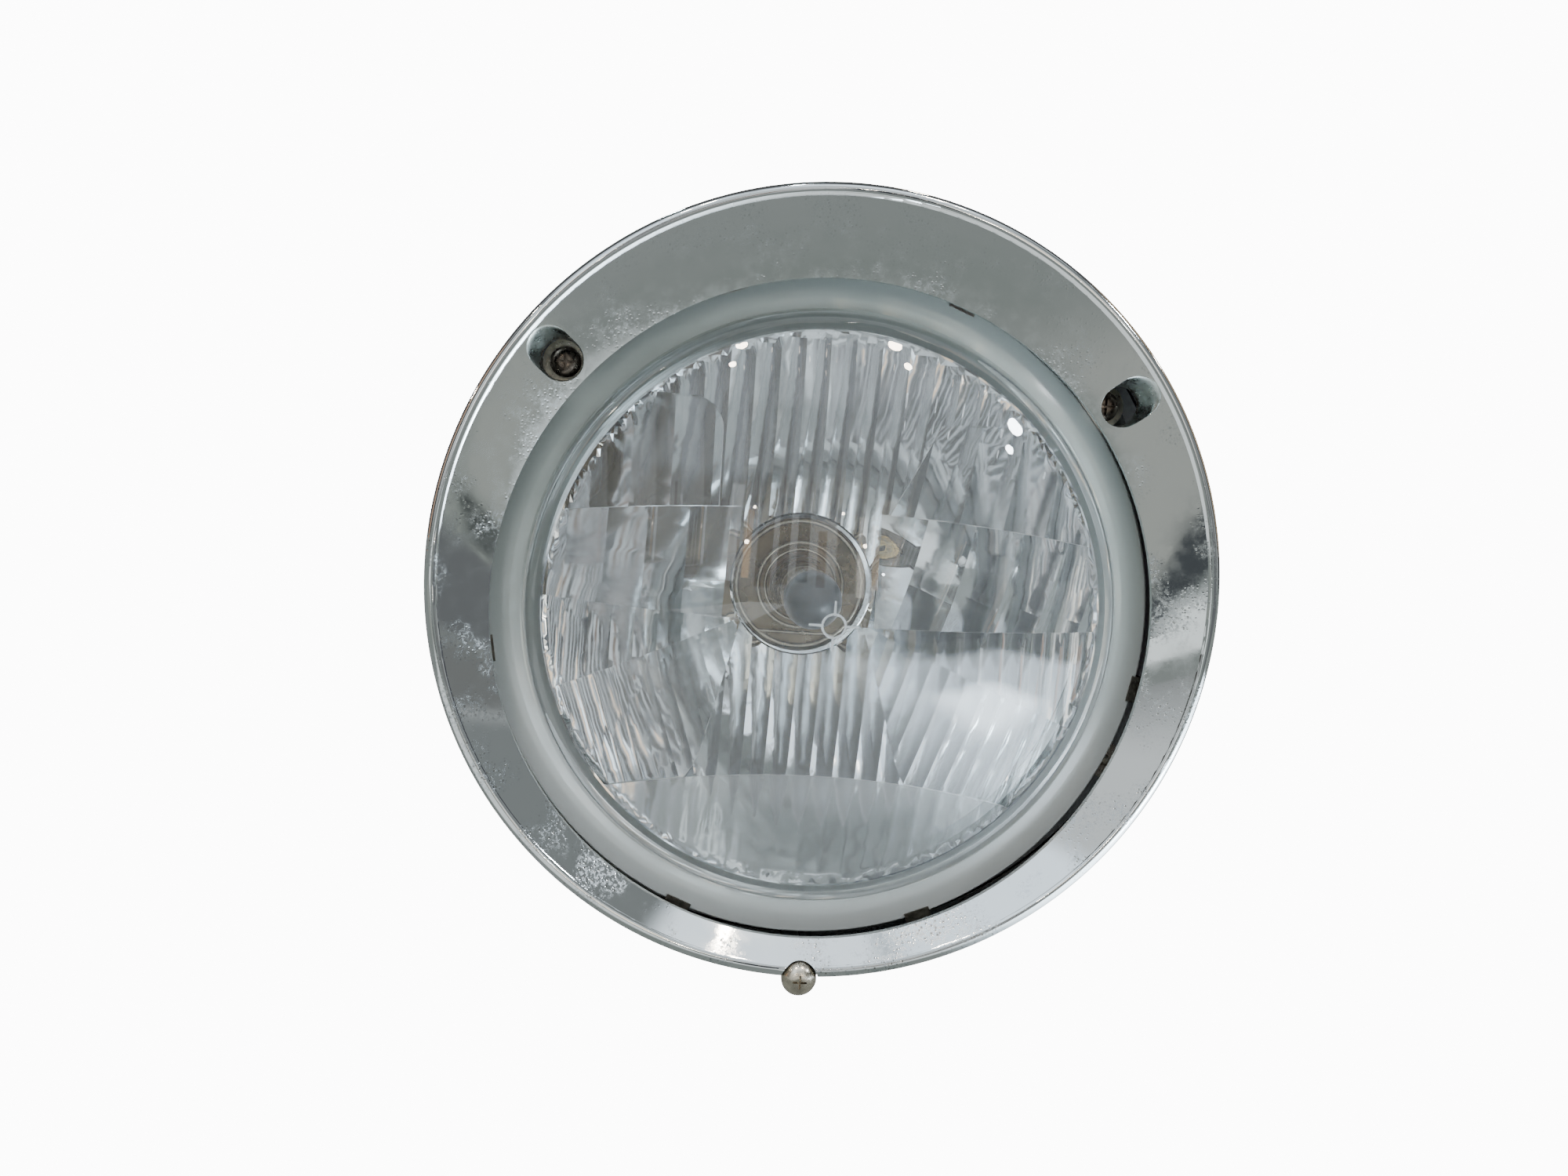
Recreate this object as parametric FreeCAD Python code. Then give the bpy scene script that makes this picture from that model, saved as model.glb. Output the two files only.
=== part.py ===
"""Round car headlight with a chromed trim ring, an H4 bulb and two-screw aiming. Millimetres.

The lamp shines along -Y and +Z is up. The origin is the centre of the round body opening,
in the plane of the seal's rear face. The lens axis runs a little below it.
"""
import FreeCAD, Part
import math
import os

# Trim ring: outer circle about the origin, lens opening about the lens axis
LENS_Z = -7.0
RING_RADIUS = 102.0
RING_FRONT = -34.0
BEAD_CURVE = 1.9
BEAD_TURN = 218.0
OPENING_RADIUS = 86.2
OPENING_FRONT = -28.0
SKIRT_RADIUS = 100.8
SHEET = 0.8
LIP_DEPTH = 1.6

# Access holes for the aiming screws, and the screws themselves
AIM_ANGLES = {"left": -50.0, "right": 50.0}
HOLE_RADIUS = 95.5
HOLE_HALF_LENGTH = 7.5
HOLE_HALF_WIDTH = 5.5
COLLAR_BACK = -24.0
AIM_RADIUS = 93.6
AIM_SHANK = 2.5
AIM_HEAD = 4.0
AIM_HEAD_DEPTH = 3.5
RETAINER = 3.1
AIM_TIP = 22.0
RUNNING_GAP = 0.08
NUT_HEAD = 5.7
NUT_WAIST = 5.0
NUT_RELIEF = 0.9
RECESS_DEPTH = 2.0

# The three points that the light unit is held at lie in one plane
PIVOT_Y = 4.0
PIVOT_RADIUS = 80.0
BALL = 4.0
SOCKET = 5.4
BALL_GAP = 0.1
THREAD_HALF = 2.5
THREAD_GAP = 0.55
STUD_SHANK = 2.2
CAGE = 6.5
CAGE_HALF = 2.7

# Screw that holds the trim ring and the whole assembly to the car
TRIM_SCREW_Z = -102.6
TRIM_SHANK = 2.5
TRIM_HEAD = 4.65
TRIM_SEAT = -31.0
TRIM_HEAD_DEPTH = 4.2
TRIM_TIP = 14.0

# Seal and support ring
SEAL_DEPTH = 3.0
STEEL = 1.2
SPIGOT_RADIUS = 96.5
FLANGE_RADIUS = 99.7
WEB_FRONT = 10.0
WEB_INNER = 80.0
WEB_LIP = 2.0

# Spring clips inside the skirt, and the hook that catches the top of the body opening
TRIM_CLIP_ANGLES = (-118.0, -68.0, 68.0, 118.0)
TRIM_CLIP_RIVET = 96.9
CLIP_RIVET_SHANK = 1.1
SPRING = 0.6
HOOK_TOP = 101.4
HOOK_FOOT = 82.5
HOOK_STEEL = 1.5
HOOK_RIVETS = ((-6.0, 88.0), (6.0, 88.0))
HOOK_RIVET_SHANK = 1.6

# Light unit: levels along the axis, then radii about the lens axis
FRAME_FRONT = -11.9
GLASS_FRONT = -18.5
GLASS_BACK = -14.2
GLASS_RADIUS = 88.0
GLASS_THICK = 4.0
GLASS_HOLLOW = 72.5
GASKET_INNER = 84.0
DOME_FRONT = -45.5
DOME_CURVE = 132.0
DOME_RADIUS = 75.5
SHOULDER_RADIUS = 78.6
LENS_CLIP_ANGLES = (-158.0, -100.0, -20.0, 20.0, 100.0, 158.0)
LENS_CLIP_INNER = 86.6
LENS_CLIP_OUTER = 90.5
FRAME_INNER = 85.4
FRAME_OUTER = 89.8
FRAME_LIP = 1.4
FOCUS = 28.0
VERTEX = 48.0
REFLECTOR_RIM = 88.9

# Bulb and its seat
BULB_HOLE = 20.6
FLANGE_SEAT = 49.0
BULB_FLANGE = 21.5
FLANGE_THICK = 1.2
SEAT_OUTER = 24.2
DISC_FRONT = 46.2
BOSS_RADIUS = 13.4
BOSS_FRONT = 43.0
COLLAR_FRONT = 36.0
CUP_RADIUS = 15.0
CUP_DEPTH = 6.8
BULB_TUBE = 8.2
BULB_WALL = 1.0
BULB_TIP = -1.0
BULB_END = 44.5
WIRE = 0.8
CLIP_HINGE_Z = 26.5
CLIP_PLANE = 51.3

# Parking lamp beside the bulb
PARKING_ANGLE = 70.0
PARKING_RADIUS = 33.0
PARKING_HOLE = 6.4
PARKING_CAP = 4.6
PARKING_CAP_FRONT = 37.5
PARKING_TUBE = 4.3
CONTACT_FRONT = 50.9
BLADE_HALF = 3.15

BACKWARD = FreeCAD.Vector(0, 1, 0)
FAR = 150.0


def on_bead(curve, angle):
    """(radius, y) on the ring's rolled bead, or inside it. 0 is its outermost line, 270 its crest."""
    turn = math.radians(angle)
    centre = RING_RADIUS - BEAD_CURVE, RING_FRONT + BEAD_CURVE
    return centre[0] + curve * math.cos(turn), centre[1] + curve * math.sin(turn)


BAND_RADIUS, BAND_FRONT = on_bead(BEAD_CURVE, BEAD_TURN)


def spot(x, y, z):
    """A point given from the lens axis."""
    return FreeCAD.Vector(x, y, z + LENS_Z)


def around(angle, radius):
    """x and height above the lens axis, clockwise from the top as seen from the front."""
    turn = math.radians(angle)
    return radius * math.sin(turn), radius * math.cos(turn)


def rod(radius, front, back, x=0.0, z=LENS_Z):
    """A cylinder along the lamp's axis, from front to back."""
    return Part.makeCylinder(radius, back - front, FreeCAD.Vector(x, front, z), BACKWARD)


def tube(outer, inner, front, back, x=0.0, z=LENS_Z):
    return rod(outer, front, back, x, z).cut(rod(inner, front, back, x, z))


def block(x0, x1, y0, y1, z0, z1):
    """A box whose heights are given from the lens axis."""
    return Part.makeBox(x1 - x0, y1 - y0, z1 - z0, spot(x0, y0, z0))


def outline_wire(outline, place):
    """Lines through points, and arcs through (middle, end) pairs. place turns a pair into 3-D."""
    edges = []
    last = outline[0]
    for step in outline[1:]:
        if isinstance(step[0], tuple):
            middle, end = step
            edges.append(Part.Arc(place(last), place(middle), place(end)).toShape())
        else:
            end = step
            edges.append(Part.makeLine(place(last), place(end)))
        last = end
    return Part.Wire(edges)


def closed_face(outline, place):
    return Part.Face(outline_wire(outline + [outline[0]], place))


def turned(outline, x=0.0, z=LENS_Z):
    """A solid of revolution about an axis along Y. The outline is (radius, y)."""
    face = closed_face(outline, lambda p: FreeCAD.Vector(x + p[0], p[1], z))
    return face.revolve(FreeCAD.Vector(x, 0, z), BACKWARD, 360)


def strip(outline, width, centre_z=LENS_Z):
    """A bent strip at the top of a circle about centre_z. The outline is (radius, y)."""
    face = closed_face(outline, lambda p: FreeCAD.Vector(-width / 2, p[1], centre_z + p[0]))
    return face.extrude(FreeCAD.Vector(width, 0, 0))


def spun(shape, angle, centre_z=LENS_Z):
    """A copy of a shape made at the top, turned clockwise about the lamp's axis."""
    copy = shape.copy()
    copy.rotate(FreeCAD.Vector(0, 0, centre_z), BACKWARD, angle)
    return copy


def fused(shapes):
    whole = shapes[0]
    if len(shapes) > 1:
        whole = whole.fuse(shapes[1:])
    return whole.removeSplitter()


def cross_recess(front, size, depth, x, z):
    """The cross in a screw head, as two crossed bars to cut away."""
    bars = []
    width = 0.3 * size
    corner = FreeCAD.Vector(x - size, front - 1, z - width / 2)
    for angle in (0, 90):
        bar = Part.makeBox(2 * size, depth + 1, width, corner)
        bar.rotate(FreeCAD.Vector(x, 0, z), BACKWARD, angle)
        bars.append(bar)
    return fused(bars)


def dish():
    """The air in front of the trim ring's band: a cone between two circles that share no centre."""
    outer = Part.makeCircle(BAND_RADIUS, FreeCAD.Vector(0, BAND_FRONT, 0), BACKWARD)
    inner = Part.makeCircle(OPENING_RADIUS, spot(0, OPENING_FRONT, 0), BACKWARD)
    return Part.makeLoft([Part.Wire(outer), Part.Wire(inner)], True, True)


def oval(grow, front, back):
    """A rod with the access hole's outline, at the top of the ring."""
    half = HOLE_HALF_LENGTH - HOLE_HALF_WIDTH
    radius = HOLE_HALF_WIDTH + grow
    ends = [rod(radius, front, back, 0, LENS_Z + HOLE_RADIUS + side * half) for side in (-1, 1)]
    middle = block(-radius, radius, front, back, HOLE_RADIUS - half, HOLE_RADIUS + half)
    return fused(ends + [middle])


def hoop(radius, y, z):
    """A circle across the lamp's axis that starts on its +X side."""
    start = Part.Vertex(FreeCAD.Vector(radius, y, z))
    return Part.Wire(start.revolve(FreeCAD.Vector(0, 0, z), BACKWARD, 360))


def skin_faces(outline, z):
    """Surfaces swept by an open outline of (radius, y) about a line at height z."""
    wire = outline_wire(outline, lambda p: FreeCAD.Vector(p[0], p[1], z))
    return wire.revolve(FreeCAD.Vector(0, 0, z), BACKWARD, 360).Faces


def cone_faces(outer, inner):
    """The surface between two hoops that share no centre."""
    return Part.makeLoft([hoop(*outer), hoop(*inner)], False, True).Faces


def rim():
    """One pressed sheet: skirt, rolled bead, dished band and the lip round the lens opening."""
    bead = [
        (BAND_RADIUS, BAND_FRONT),
        (on_bead(BEAD_CURVE, 290), on_bead(BEAD_CURVE, 360)),
        (SKIRT_RADIUS, -SEAL_DEPTH),
        (SKIRT_RADIUS - SHEET, -SEAL_DEPTH),
        on_bead(BEAD_CURVE - SHEET, 360),
        (on_bead(BEAD_CURVE - SHEET, 290), on_bead(BEAD_CURVE - SHEET, BEAD_TURN)),
    ]
    lip = [
        (OPENING_RADIUS, OPENING_FRONT),
        (OPENING_RADIUS, OPENING_FRONT + LIP_DEPTH),
        (OPENING_RADIUS + SHEET, OPENING_FRONT + LIP_DEPTH),
        (OPENING_RADIUS + SHEET, OPENING_FRONT + SHEET - 0.2),
    ]
    faces = skin_faces(bead, 0) + skin_faces(lip, LENS_Z)
    faces += cone_faces((*bead[0], 0), (*lip[0], LENS_Z))
    faces += cone_faces((*bead[-1][1], 0), (*lip[-1], LENS_Z))
    shell = Part.makeShell(faces)
    shell.sewShape()
    solid = Part.makeSolid(shell)
    if solid.Volume < 0:
        solid.reverse()
    return solid


def trim_ring():
    air = dish()
    ring = rim()
    for angle in AIM_ANGLES.values():
        collar = spun(oval(SHEET, BAND_FRONT + 0.9, COLLAR_BACK), angle).cut(air)
        ring = ring.fuse(collar).cut(spun(oval(0, RING_FRONT - 1, COLLAR_BACK + 1), angle))
    inside = rod(SKIRT_RADIUS + 0.4, RING_FRONT, 0, z=0)
    seat_back = TRIM_SEAT + 1
    boss = rod(TRIM_HEAD + 1, BAND_FRONT + 0.3, seat_back, z=TRIM_SCREW_Z)
    channel = rod(TRIM_SHANK + 1.2, TRIM_SEAT, -SEAL_DEPTH - 0.3, z=TRIM_SCREW_Z)
    boss = boss.fuse(channel).common(inside).cut(air)
    tab = rod(TRIM_HEAD - 0.15, TRIM_SEAT, seat_back, z=TRIM_SCREW_Z)
    pocket = rod(TRIM_HEAD + 0.35, RING_FRONT - 1, TRIM_SEAT, z=TRIM_SCREW_Z)
    ring = ring.cut(pocket).fuse(boss.fuse(tab).cut(pocket))
    return ring.cut(rod(TRIM_SHANK + 0.4, RING_FRONT, 0, z=TRIM_SCREW_Z))


def trim_screw():
    front = TRIM_SEAT - TRIM_HEAD_DEPTH
    outline = [
        (0, front),
        (0.6, front),
        ((0.75 * TRIM_HEAD, front + 1.0), (TRIM_HEAD, TRIM_SEAT - 1.3)),
        (TRIM_HEAD, TRIM_SEAT),
        (TRIM_SHANK - 0.3, TRIM_SEAT),
        (TRIM_SHANK - 0.3, 0),
        (TRIM_SHANK, 0),
        (TRIM_SHANK, TRIM_TIP - 1),
        (TRIM_SHANK - 0.8, TRIM_TIP),
        (0, TRIM_TIP),
    ]
    screw = turned(outline, z=TRIM_SCREW_Z)
    return screw.cut(cross_recess(front, 0.4 * TRIM_HEAD, RECESS_DEPTH, 0, TRIM_SCREW_Z))


def body_seal():
    outline = [
        (SPIGOT_RADIUS + 0.1, -SEAL_DEPTH),
        (SKIRT_RADIUS + 0.7, -SEAL_DEPTH),
        (SKIRT_RADIUS + 0.7, -0.8),
        (SKIRT_RADIUS - 0.1, 0),
        (SPIGOT_RADIUS + 0.1, 0),
    ]
    return turned(outline, z=0).cut(rod(TRIM_SHANK + 0.7, -5, 5, z=TRIM_SCREW_Z))


def nut_place(side):
    return around(AIM_ANGLES[side], AIM_RADIUS)


def support_ring():
    inner = SPIGOT_RADIUS - STEEL
    back = WEB_FRONT + STEEL
    outline = [
        (inner, -SEAL_DEPTH - STEEL),
        (FLANGE_RADIUS, -SEAL_DEPTH - STEEL),
        (FLANGE_RADIUS, -SEAL_DEPTH),
        (SPIGOT_RADIUS, -SEAL_DEPTH),
        (SPIGOT_RADIUS, back),
        (WEB_INNER, back),
        (WEB_INNER, WEB_FRONT - WEB_LIP),
        (WEB_INNER + STEEL, WEB_FRONT - WEB_LIP),
        (WEB_INNER + STEEL, WEB_FRONT),
        (inner, WEB_FRONT),
    ]
    ring = turned(outline, z=0)
    for side in AIM_ANGLES:
        x, z = nut_place(side)
        ring = ring.cut(rod(NUT_WAIST + 0.05, WEB_FRONT - 1, back + 1, x, LENS_Z + z))
    ring = ring.cut(rod(STUD_SHANK, WEB_FRONT - 1, back + 1, 0, LENS_Z - PIVOT_RADIUS))
    for x, z in HOOK_RIVETS:
        ring = ring.cut(rod(HOOK_RIVET_SHANK, WEB_FRONT - 1, back + 1, x, z))
    for angle in TRIM_CLIP_ANGLES:
        ring = ring.cut(spun(rod(CLIP_RIVET_SHANK, -6, 0, 0, TRIM_CLIP_RIVET), angle, 0))
    return ring.cut(rod(TRIM_SHANK + 1.9, -6, 0, z=TRIM_SCREW_Z))


def trim_clips():
    foot = -SEAL_DEPTH - STEEL
    outline = [
        (SPIGOT_RADIUS - 0.9, foot),
        (99.3, foot),
        (99.3, foot - 0.8),
        (99.9, foot - 6),
        (98.6, foot - 10),
        (98.1, foot - 9.7),
        (99.3, foot - 6),
        (98.7, foot - SPRING),
        (SPIGOT_RADIUS - 0.9, foot - SPRING),
    ]
    clip = strip(outline, 10, 0).cut(rod(CLIP_RIVET_SHANK, -8, 0, 0, TRIM_CLIP_RIVET))
    return Part.makeCompound([spun(clip, angle, 0) for angle in TRIM_CLIP_ANGLES])


def rivets():
    foot = -SEAL_DEPTH - STEEL - SPRING
    back = WEB_FRONT + STEEL + HOOK_STEEL
    small = [
        (0, foot - 0.9),
        (0.4, foot - 0.9),
        ((1.3, foot - 0.6), (1.6, foot)),
        (CLIP_RIVET_SHANK, foot),
        (CLIP_RIVET_SHANK, -SEAL_DEPTH),
        (0, -SEAL_DEPTH),
    ]
    large = [
        (0, WEB_FRONT - 1.2),
        (0.6, WEB_FRONT - 1.2),
        ((2.1, WEB_FRONT - 0.8), (2.8, WEB_FRONT)),
        (HOOK_RIVET_SHANK, WEB_FRONT),
        (HOOK_RIVET_SHANK, back),
        (2.8, back),
        ((2.1, back + 0.8), (0.6, back + 1.2)),
        (0, back + 1.2),
    ]
    clip_rivet = turned(small, z=TRIM_CLIP_RIVET)
    solids = [spun(clip_rivet, angle, 0) for angle in TRIM_CLIP_ANGLES]
    solids += [turned(large, x, z) for x, z in HOOK_RIVETS]
    return Part.makeCompound(solids)


def top_hook():
    base = WEB_FRONT + STEEL
    outline = [
        (HOOK_FOOT, base),
        (HOOK_TOP - 3, base),
        ((HOOK_TOP - 1.95, base - 0.45), (HOOK_TOP - HOOK_STEEL, base - 1.5)),
        (HOOK_TOP - HOOK_STEEL, 4.5),
        (HOOK_TOP, 3.9),
        (HOOK_TOP, base - 1.5),
        ((HOOK_TOP - 0.9, base + 0.6), (HOOK_TOP - 3, base + HOOK_STEEL)),
        (HOOK_FOOT, base + HOOK_STEEL),
    ]
    hook = strip(outline, 20, 0)
    for x, z in HOOK_RIVETS:
        hook = hook.cut(rod(HOOK_RIVET_SHANK, base - 1, base + 3, x, z))
    return hook


def aim_nut(side):
    x, z = nut_place(side)
    bore = AIM_SHANK + THREAD_GAP
    back = WEB_FRONT + STEEL
    wide = bore + NUT_RELIEF
    outline = [
        (wide, 0),
        (NUT_HEAD, 0),
        (NUT_HEAD, WEB_FRONT),
        (NUT_WAIST, WEB_FRONT),
        (NUT_WAIST, back),
        (NUT_HEAD - 0.1, back + 0.2),
        (NUT_WAIST - 0.2, back + 2.4),
        (wide, back + 2.4),
        (wide, PIVOT_Y + THREAD_HALF),
        (bore, PIVOT_Y + THREAD_HALF),
        (bore, PIVOT_Y - THREAD_HALF),
        (wide, PIVOT_Y - THREAD_HALF),
    ]
    return turned(outline, x, LENS_Z + z)


def pivot_stud():
    z = LENS_Z - PIVOT_RADIUS
    back = WEB_FRONT + STEEL
    ball = Part.makeSphere(BALL, FreeCAD.Vector(0, PIVOT_Y, z))
    shank = rod(STUD_SHANK, PIVOT_Y, back, z=z)
    flange = rod(2 * STUD_SHANK, WEB_FRONT - 1.4, WEB_FRONT, z=z)
    head = rod(3.4, back, back + 1.3, z=z)
    return fused([ball, shank, flange, head])


def pivot_socket():
    centre = spot(0, PIVOT_Y, -PIVOT_RADIUS)
    shell = Part.makeSphere(SOCKET, centre).cut(Part.makeSphere(BALL + BALL_GAP, centre))
    return shell.cut(rod(3.4, PIVOT_Y, PIVOT_Y + 8, z=centre.z))


def adjusting_frame():
    back = FRAME_FRONT + STEEL
    outline = [
        (FRAME_INNER, FRAME_FRONT),
        (FRAME_OUTER, FRAME_FRONT),
        (FRAME_OUTER, back + FRAME_LIP),
        (FRAME_OUTER - SHEET, back + FRAME_LIP),
        (FRAME_OUTER - SHEET, back),
        (FRAME_INNER, back),
    ]
    pieces = [turned(outline)]
    hole = rod(AIM_SHANK + RUNNING_GAP, FRAME_FRONT - 1, back + 1, 0, LENS_Z + AIM_RADIUS)
    ear = block(-6, 6, FRAME_FRONT, back, FRAME_OUTER - 1, AIM_RADIUS)
    ear = ear.fuse(rod(6, FRAME_FRONT, back, 0, LENS_Z + AIM_RADIUS))
    pieces += [spun(ear, angle) for angle in AIM_ANGLES.values()]
    frame = fused(pieces)
    for angle in AIM_ANGLES.values():
        frame = frame.cut(spun(hole, angle))
    return frame


def pivot_bracket():
    """Foot welded behind the frame, a tongue going back and a cage round the pivot socket."""
    back = FRAME_FRONT + STEEL
    under = PIVOT_RADIUS + SOCKET + 0.3
    foot = tube(FRAME_OUTER - SHEET - 0.2, FRAME_INNER, back, back + STEEL)
    foot = foot.common(block(-8, 8, back, back + STEEL, -FAR, 0))
    tongue = block(-6, 6, back, PIVOT_Y + CAGE_HALF, -under - STEEL, -under)
    cage = rod(CAGE, PIVOT_Y - CAGE_HALF, PIVOT_Y + CAGE_HALF, z=LENS_Z - PIVOT_RADIUS)
    bracket = fused([foot, tongue, cage])
    return bracket.cut(Part.makeSphere(SOCKET + BALL_GAP, spot(0, PIVOT_Y, -PIVOT_RADIUS)))


def bowl(grow):
    """The space in front of a parabola that is grow thicker than the reflector's inner face."""
    points = []
    steps = 12
    for step in range(steps + 1):
        radius = step * (REFLECTOR_RIM + 0.4) / steps
        depth = VERTEX - radius**2 / (4 * FOCUS)
        points.append(FreeCAD.Vector(radius, depth + grow * math.hypot(1, radius / (2 * FOCUS)), LENS_Z))
    curve = Part.BSplineCurve()
    curve.interpolate(points)
    first, last = points[0], points[-1]
    corner = FreeCAD.Vector(0, last.y, LENS_Z)
    edges = [curve.toShape(), Part.makeLine(last, corner), Part.makeLine(corner, first)]
    return Part.Face(Part.Wire(edges)).revolve(spot(0, 0, 0), BACKWARD, 360)


def reflector():
    front = FRAME_FRONT - SHEET
    lip = tube(REFLECTOR_RIM, REFLECTOR_RIM - SHEET, front - 3, FRAME_FRONT)
    body = bowl(SHEET).cut(rod(FAR, -FAR, front))
    body = fused([body, rod(REFLECTOR_RIM, front, FRAME_FRONT), lip]).cut(bowl(0))
    x, z = around(PARKING_ANGLE, PARKING_RADIUS)
    return body.cut(rod(BULB_HOLE, 0, FAR)).cut(rod(PARKING_HOLE, 0, FAR, x, LENS_Z + z))


def lens_gasket():
    return tube(GLASS_RADIUS, GASKET_INNER, GLASS_BACK, FRAME_FRONT - SHEET)


def lens():
    """Domed front glass: a shoulder, then a flat rim that the clips hold."""
    centre = DOME_FRONT + DOME_CURVE

    def dome(radius, curve):
        return centre - math.sqrt(curve**2 - radius**2)

    inner = DOME_CURVE - GLASS_THICK
    hollow = GLASS_HOLLOW
    half = DOME_RADIUS / 2
    outline = [
        (0, DOME_FRONT),
        ((half, dome(half, DOME_CURVE)), (DOME_RADIUS, dome(DOME_RADIUS, DOME_CURVE))),
        ((SHOULDER_RADIUS - 0.7, GLASS_FRONT - 2.0), (SHOULDER_RADIUS, GLASS_FRONT)),
        (GLASS_RADIUS - 0.6, GLASS_FRONT),
        (GLASS_RADIUS, GLASS_FRONT + 0.6),
        (GLASS_RADIUS, GLASS_BACK),
        (hollow + 4, GLASS_BACK),
        (hollow, dome(hollow, inner)),
        ((hollow / 2, dome(hollow / 2, inner)), (0, DOME_FRONT + GLASS_THICK)),
    ]
    return turned(outline)


def lens_clips():
    back = FRAME_FRONT + STEEL + FRAME_LIP
    outline = [
        (LENS_CLIP_INNER, GLASS_FRONT - SPRING),
        (LENS_CLIP_OUTER, GLASS_FRONT - SPRING),
        (LENS_CLIP_OUTER, back + SPRING),
        (FRAME_OUTER - 0.9, back + SPRING),
        (FRAME_OUTER - 0.9, back),
        (LENS_CLIP_OUTER - SPRING, back),
        (LENS_CLIP_OUTER - SPRING, GLASS_FRONT),
        (LENS_CLIP_INNER, GLASS_FRONT),
    ]
    clip = strip(outline, 7)
    # the strip is straight, so its ends are cut back where the round edges need room
    clip = clip.cut(tube(FRAME_OUTER + 0.02, FRAME_OUTER - 2, FRAME_FRONT - 1, back))
    return Part.makeCompound([spun(clip, angle) for angle in LENS_CLIP_ANGLES])


def bulb_seat():
    """Ring behind the reflector that the bulb's flange drops into, with the spring clip's lugs."""
    ring = tube(SEAT_OUTER, BULB_HOLE, FLANGE_SEAT - 8, FLANGE_SEAT + 1.3)
    ring = ring.cut(rod(BULB_FLANGE + 0.3, FLANGE_SEAT, FAR)).cut(bowl(SHEET))
    pieces = [ring]
    for side in (-1, 1):
        inner, outer = sorted((side * 12.0, side * 13.5))
        lug = block(inner, outer, FLANGE_SEAT - 3, CLIP_PLANE + 2, 19.6, CLIP_HINGE_Z + 2)
        pieces.append(lug)
    catch = block(-3, 3, FLANGE_SEAT - 3, CLIP_PLANE + 2.2, -28.4, -27.2)
    catch_foot = block(-3, 3, FLANGE_SEAT - 3, FLANGE_SEAT - 1, -28.4, -23.4)
    seat = fused(pieces + [catch, catch_foot])
    hinge = Part.makeCylinder(WIRE + 0.06, 30, spot(-15, CLIP_PLANE, CLIP_HINGE_Z), FreeCAD.Vector(1, 0, 0))
    return seat.cut(hinge)


def bulb_clip():
    """One bent wire: two pivots at the top, two legs across the flange and a bar at the foot."""
    half = [(11.4, CLIP_HINGE_Z), (15.6, CLIP_HINGE_Z), (17.2, 15.0), (17.2, -14.0), (4.0, -26.0)]
    route = [(-x, z) for x, z in half] + half[::-1]
    corners = [spot(x, CLIP_PLANE, z) for x, z in route]
    pieces = []
    for start, end in zip(corners, corners[1:]):
        run = end - start
        pieces.append(Part.makeCylinder(WIRE, run.Length, start, run))
    pieces += [Part.makeSphere(WIRE, corner) for corner in corners[1:-1]]
    return fused(pieces)


def bulb_base():
    """Stepped metal cap: the flange on its seat, a raised boss and the collar round the glass."""
    flange_back = FLANGE_SEAT + FLANGE_THICK
    collar = BULB_TUBE + 0.1
    outline = [
        (0, BULB_END),
        (collar, BULB_END),
        (collar, COLLAR_FRONT),
        (collar + 1, COLLAR_FRONT),
        (collar + 1, BOSS_FRONT),
        (BOSS_RADIUS - 0.8, BOSS_FRONT),
        (BOSS_RADIUS, BOSS_FRONT + 0.8),
        (BOSS_RADIUS, DISC_FRONT),
        (BULB_HOLE - 0.3, DISC_FRONT),
        (BULB_HOLE - 0.3, FLANGE_SEAT),
        (BULB_FLANGE, FLANGE_SEAT),
        (BULB_FLANGE, flange_back),
        (CUP_RADIUS, flange_back),
        (CUP_RADIUS, flange_back + CUP_DEPTH),
        (0, flange_back + CUP_DEPTH),
    ]
    step = block(-BULB_HOLE, BULB_HOLE, DISC_FRONT - 0.2, DISC_FRONT + 1, -BULB_HOLE, -15.3)
    notch = block(-4, -1.6, DISC_FRONT - 0.2, DISC_FRONT + 2.2, -BULB_HOLE - 1, -18.2)
    return turned(outline).cut(step).cut(notch)


def bulb_glass():
    inner = BULB_TUBE - BULB_WALL
    outline = [
        (0, BULB_TIP),
        (1.2, BULB_TIP),
        ((6.4, BULB_TIP + 2.4), (BULB_TUBE, BULB_TIP + 7.5)),
        (BULB_TUBE, BULB_END),
        (inner, BULB_END),
        (inner, BULB_TIP + 7.7),
        ((5.6, BULB_TIP + 3.3), (1.2, BULB_TIP + BULB_WALL)),
        (0, BULB_TIP + BULB_WALL),
    ]
    return turned(outline)


def along_axis(radius, start, end, x, z):
    return rod(radius, start, end, x, LENS_Z + z)


def low_beam_filament():
    return along_axis(0.9, 17.0, 22.5, 0, 0.6)


def high_beam_filament():
    return along_axis(0.9, 26.5, 31.5, 0, -1.2)


def low_beam_shield():
    """Small cup under the low-beam filament, open above."""
    cup = tube(4.6, 4.2, 14.5, 25.0).fuse(rod(4.6, 14.1, 14.5))
    return cup.cut(block(-5, 5, 14, 26, -0.6, 5)).removeSplitter()


def filament_supports():
    left = along_axis(0.45, 25.0, BULB_END, -4.4, -2.0)
    middle = along_axis(0.45, 32.4, BULB_END, 0, -1.2)
    right = along_axis(0.45, 23.4, BULB_END, 4.6, 1.2)
    return Part.makeCompound([left, middle, right])


def bulb_insulator():
    front = FLANGE_SEAT + FLANGE_THICK + CUP_DEPTH
    outline = [(0, front), (12.8, front), (12.8, front + 8.5), (11.3, front + 10), (0, front + 10)]
    body = turned(outline)
    for terminal in terminal_blocks():
        body = body.cut(terminal)
    return body


def terminal_blocks():
    front = FLANGE_SEAT + 12
    back = FLANGE_SEAT + 30
    top = block(-4, 4, front, back, 7.6, 8.4)
    sides = [block(x - 0.4, x + 0.4, front, back, -5.5, 2.5) for x in (-8.4, 8.4)]
    return [top] + sides


def bulb_terminals():
    return Part.makeCompound(terminal_blocks())


def parking(outline):
    x, z = around(PARKING_ANGLE, PARKING_RADIUS)
    return turned(outline, x, LENS_Z + z)


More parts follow.
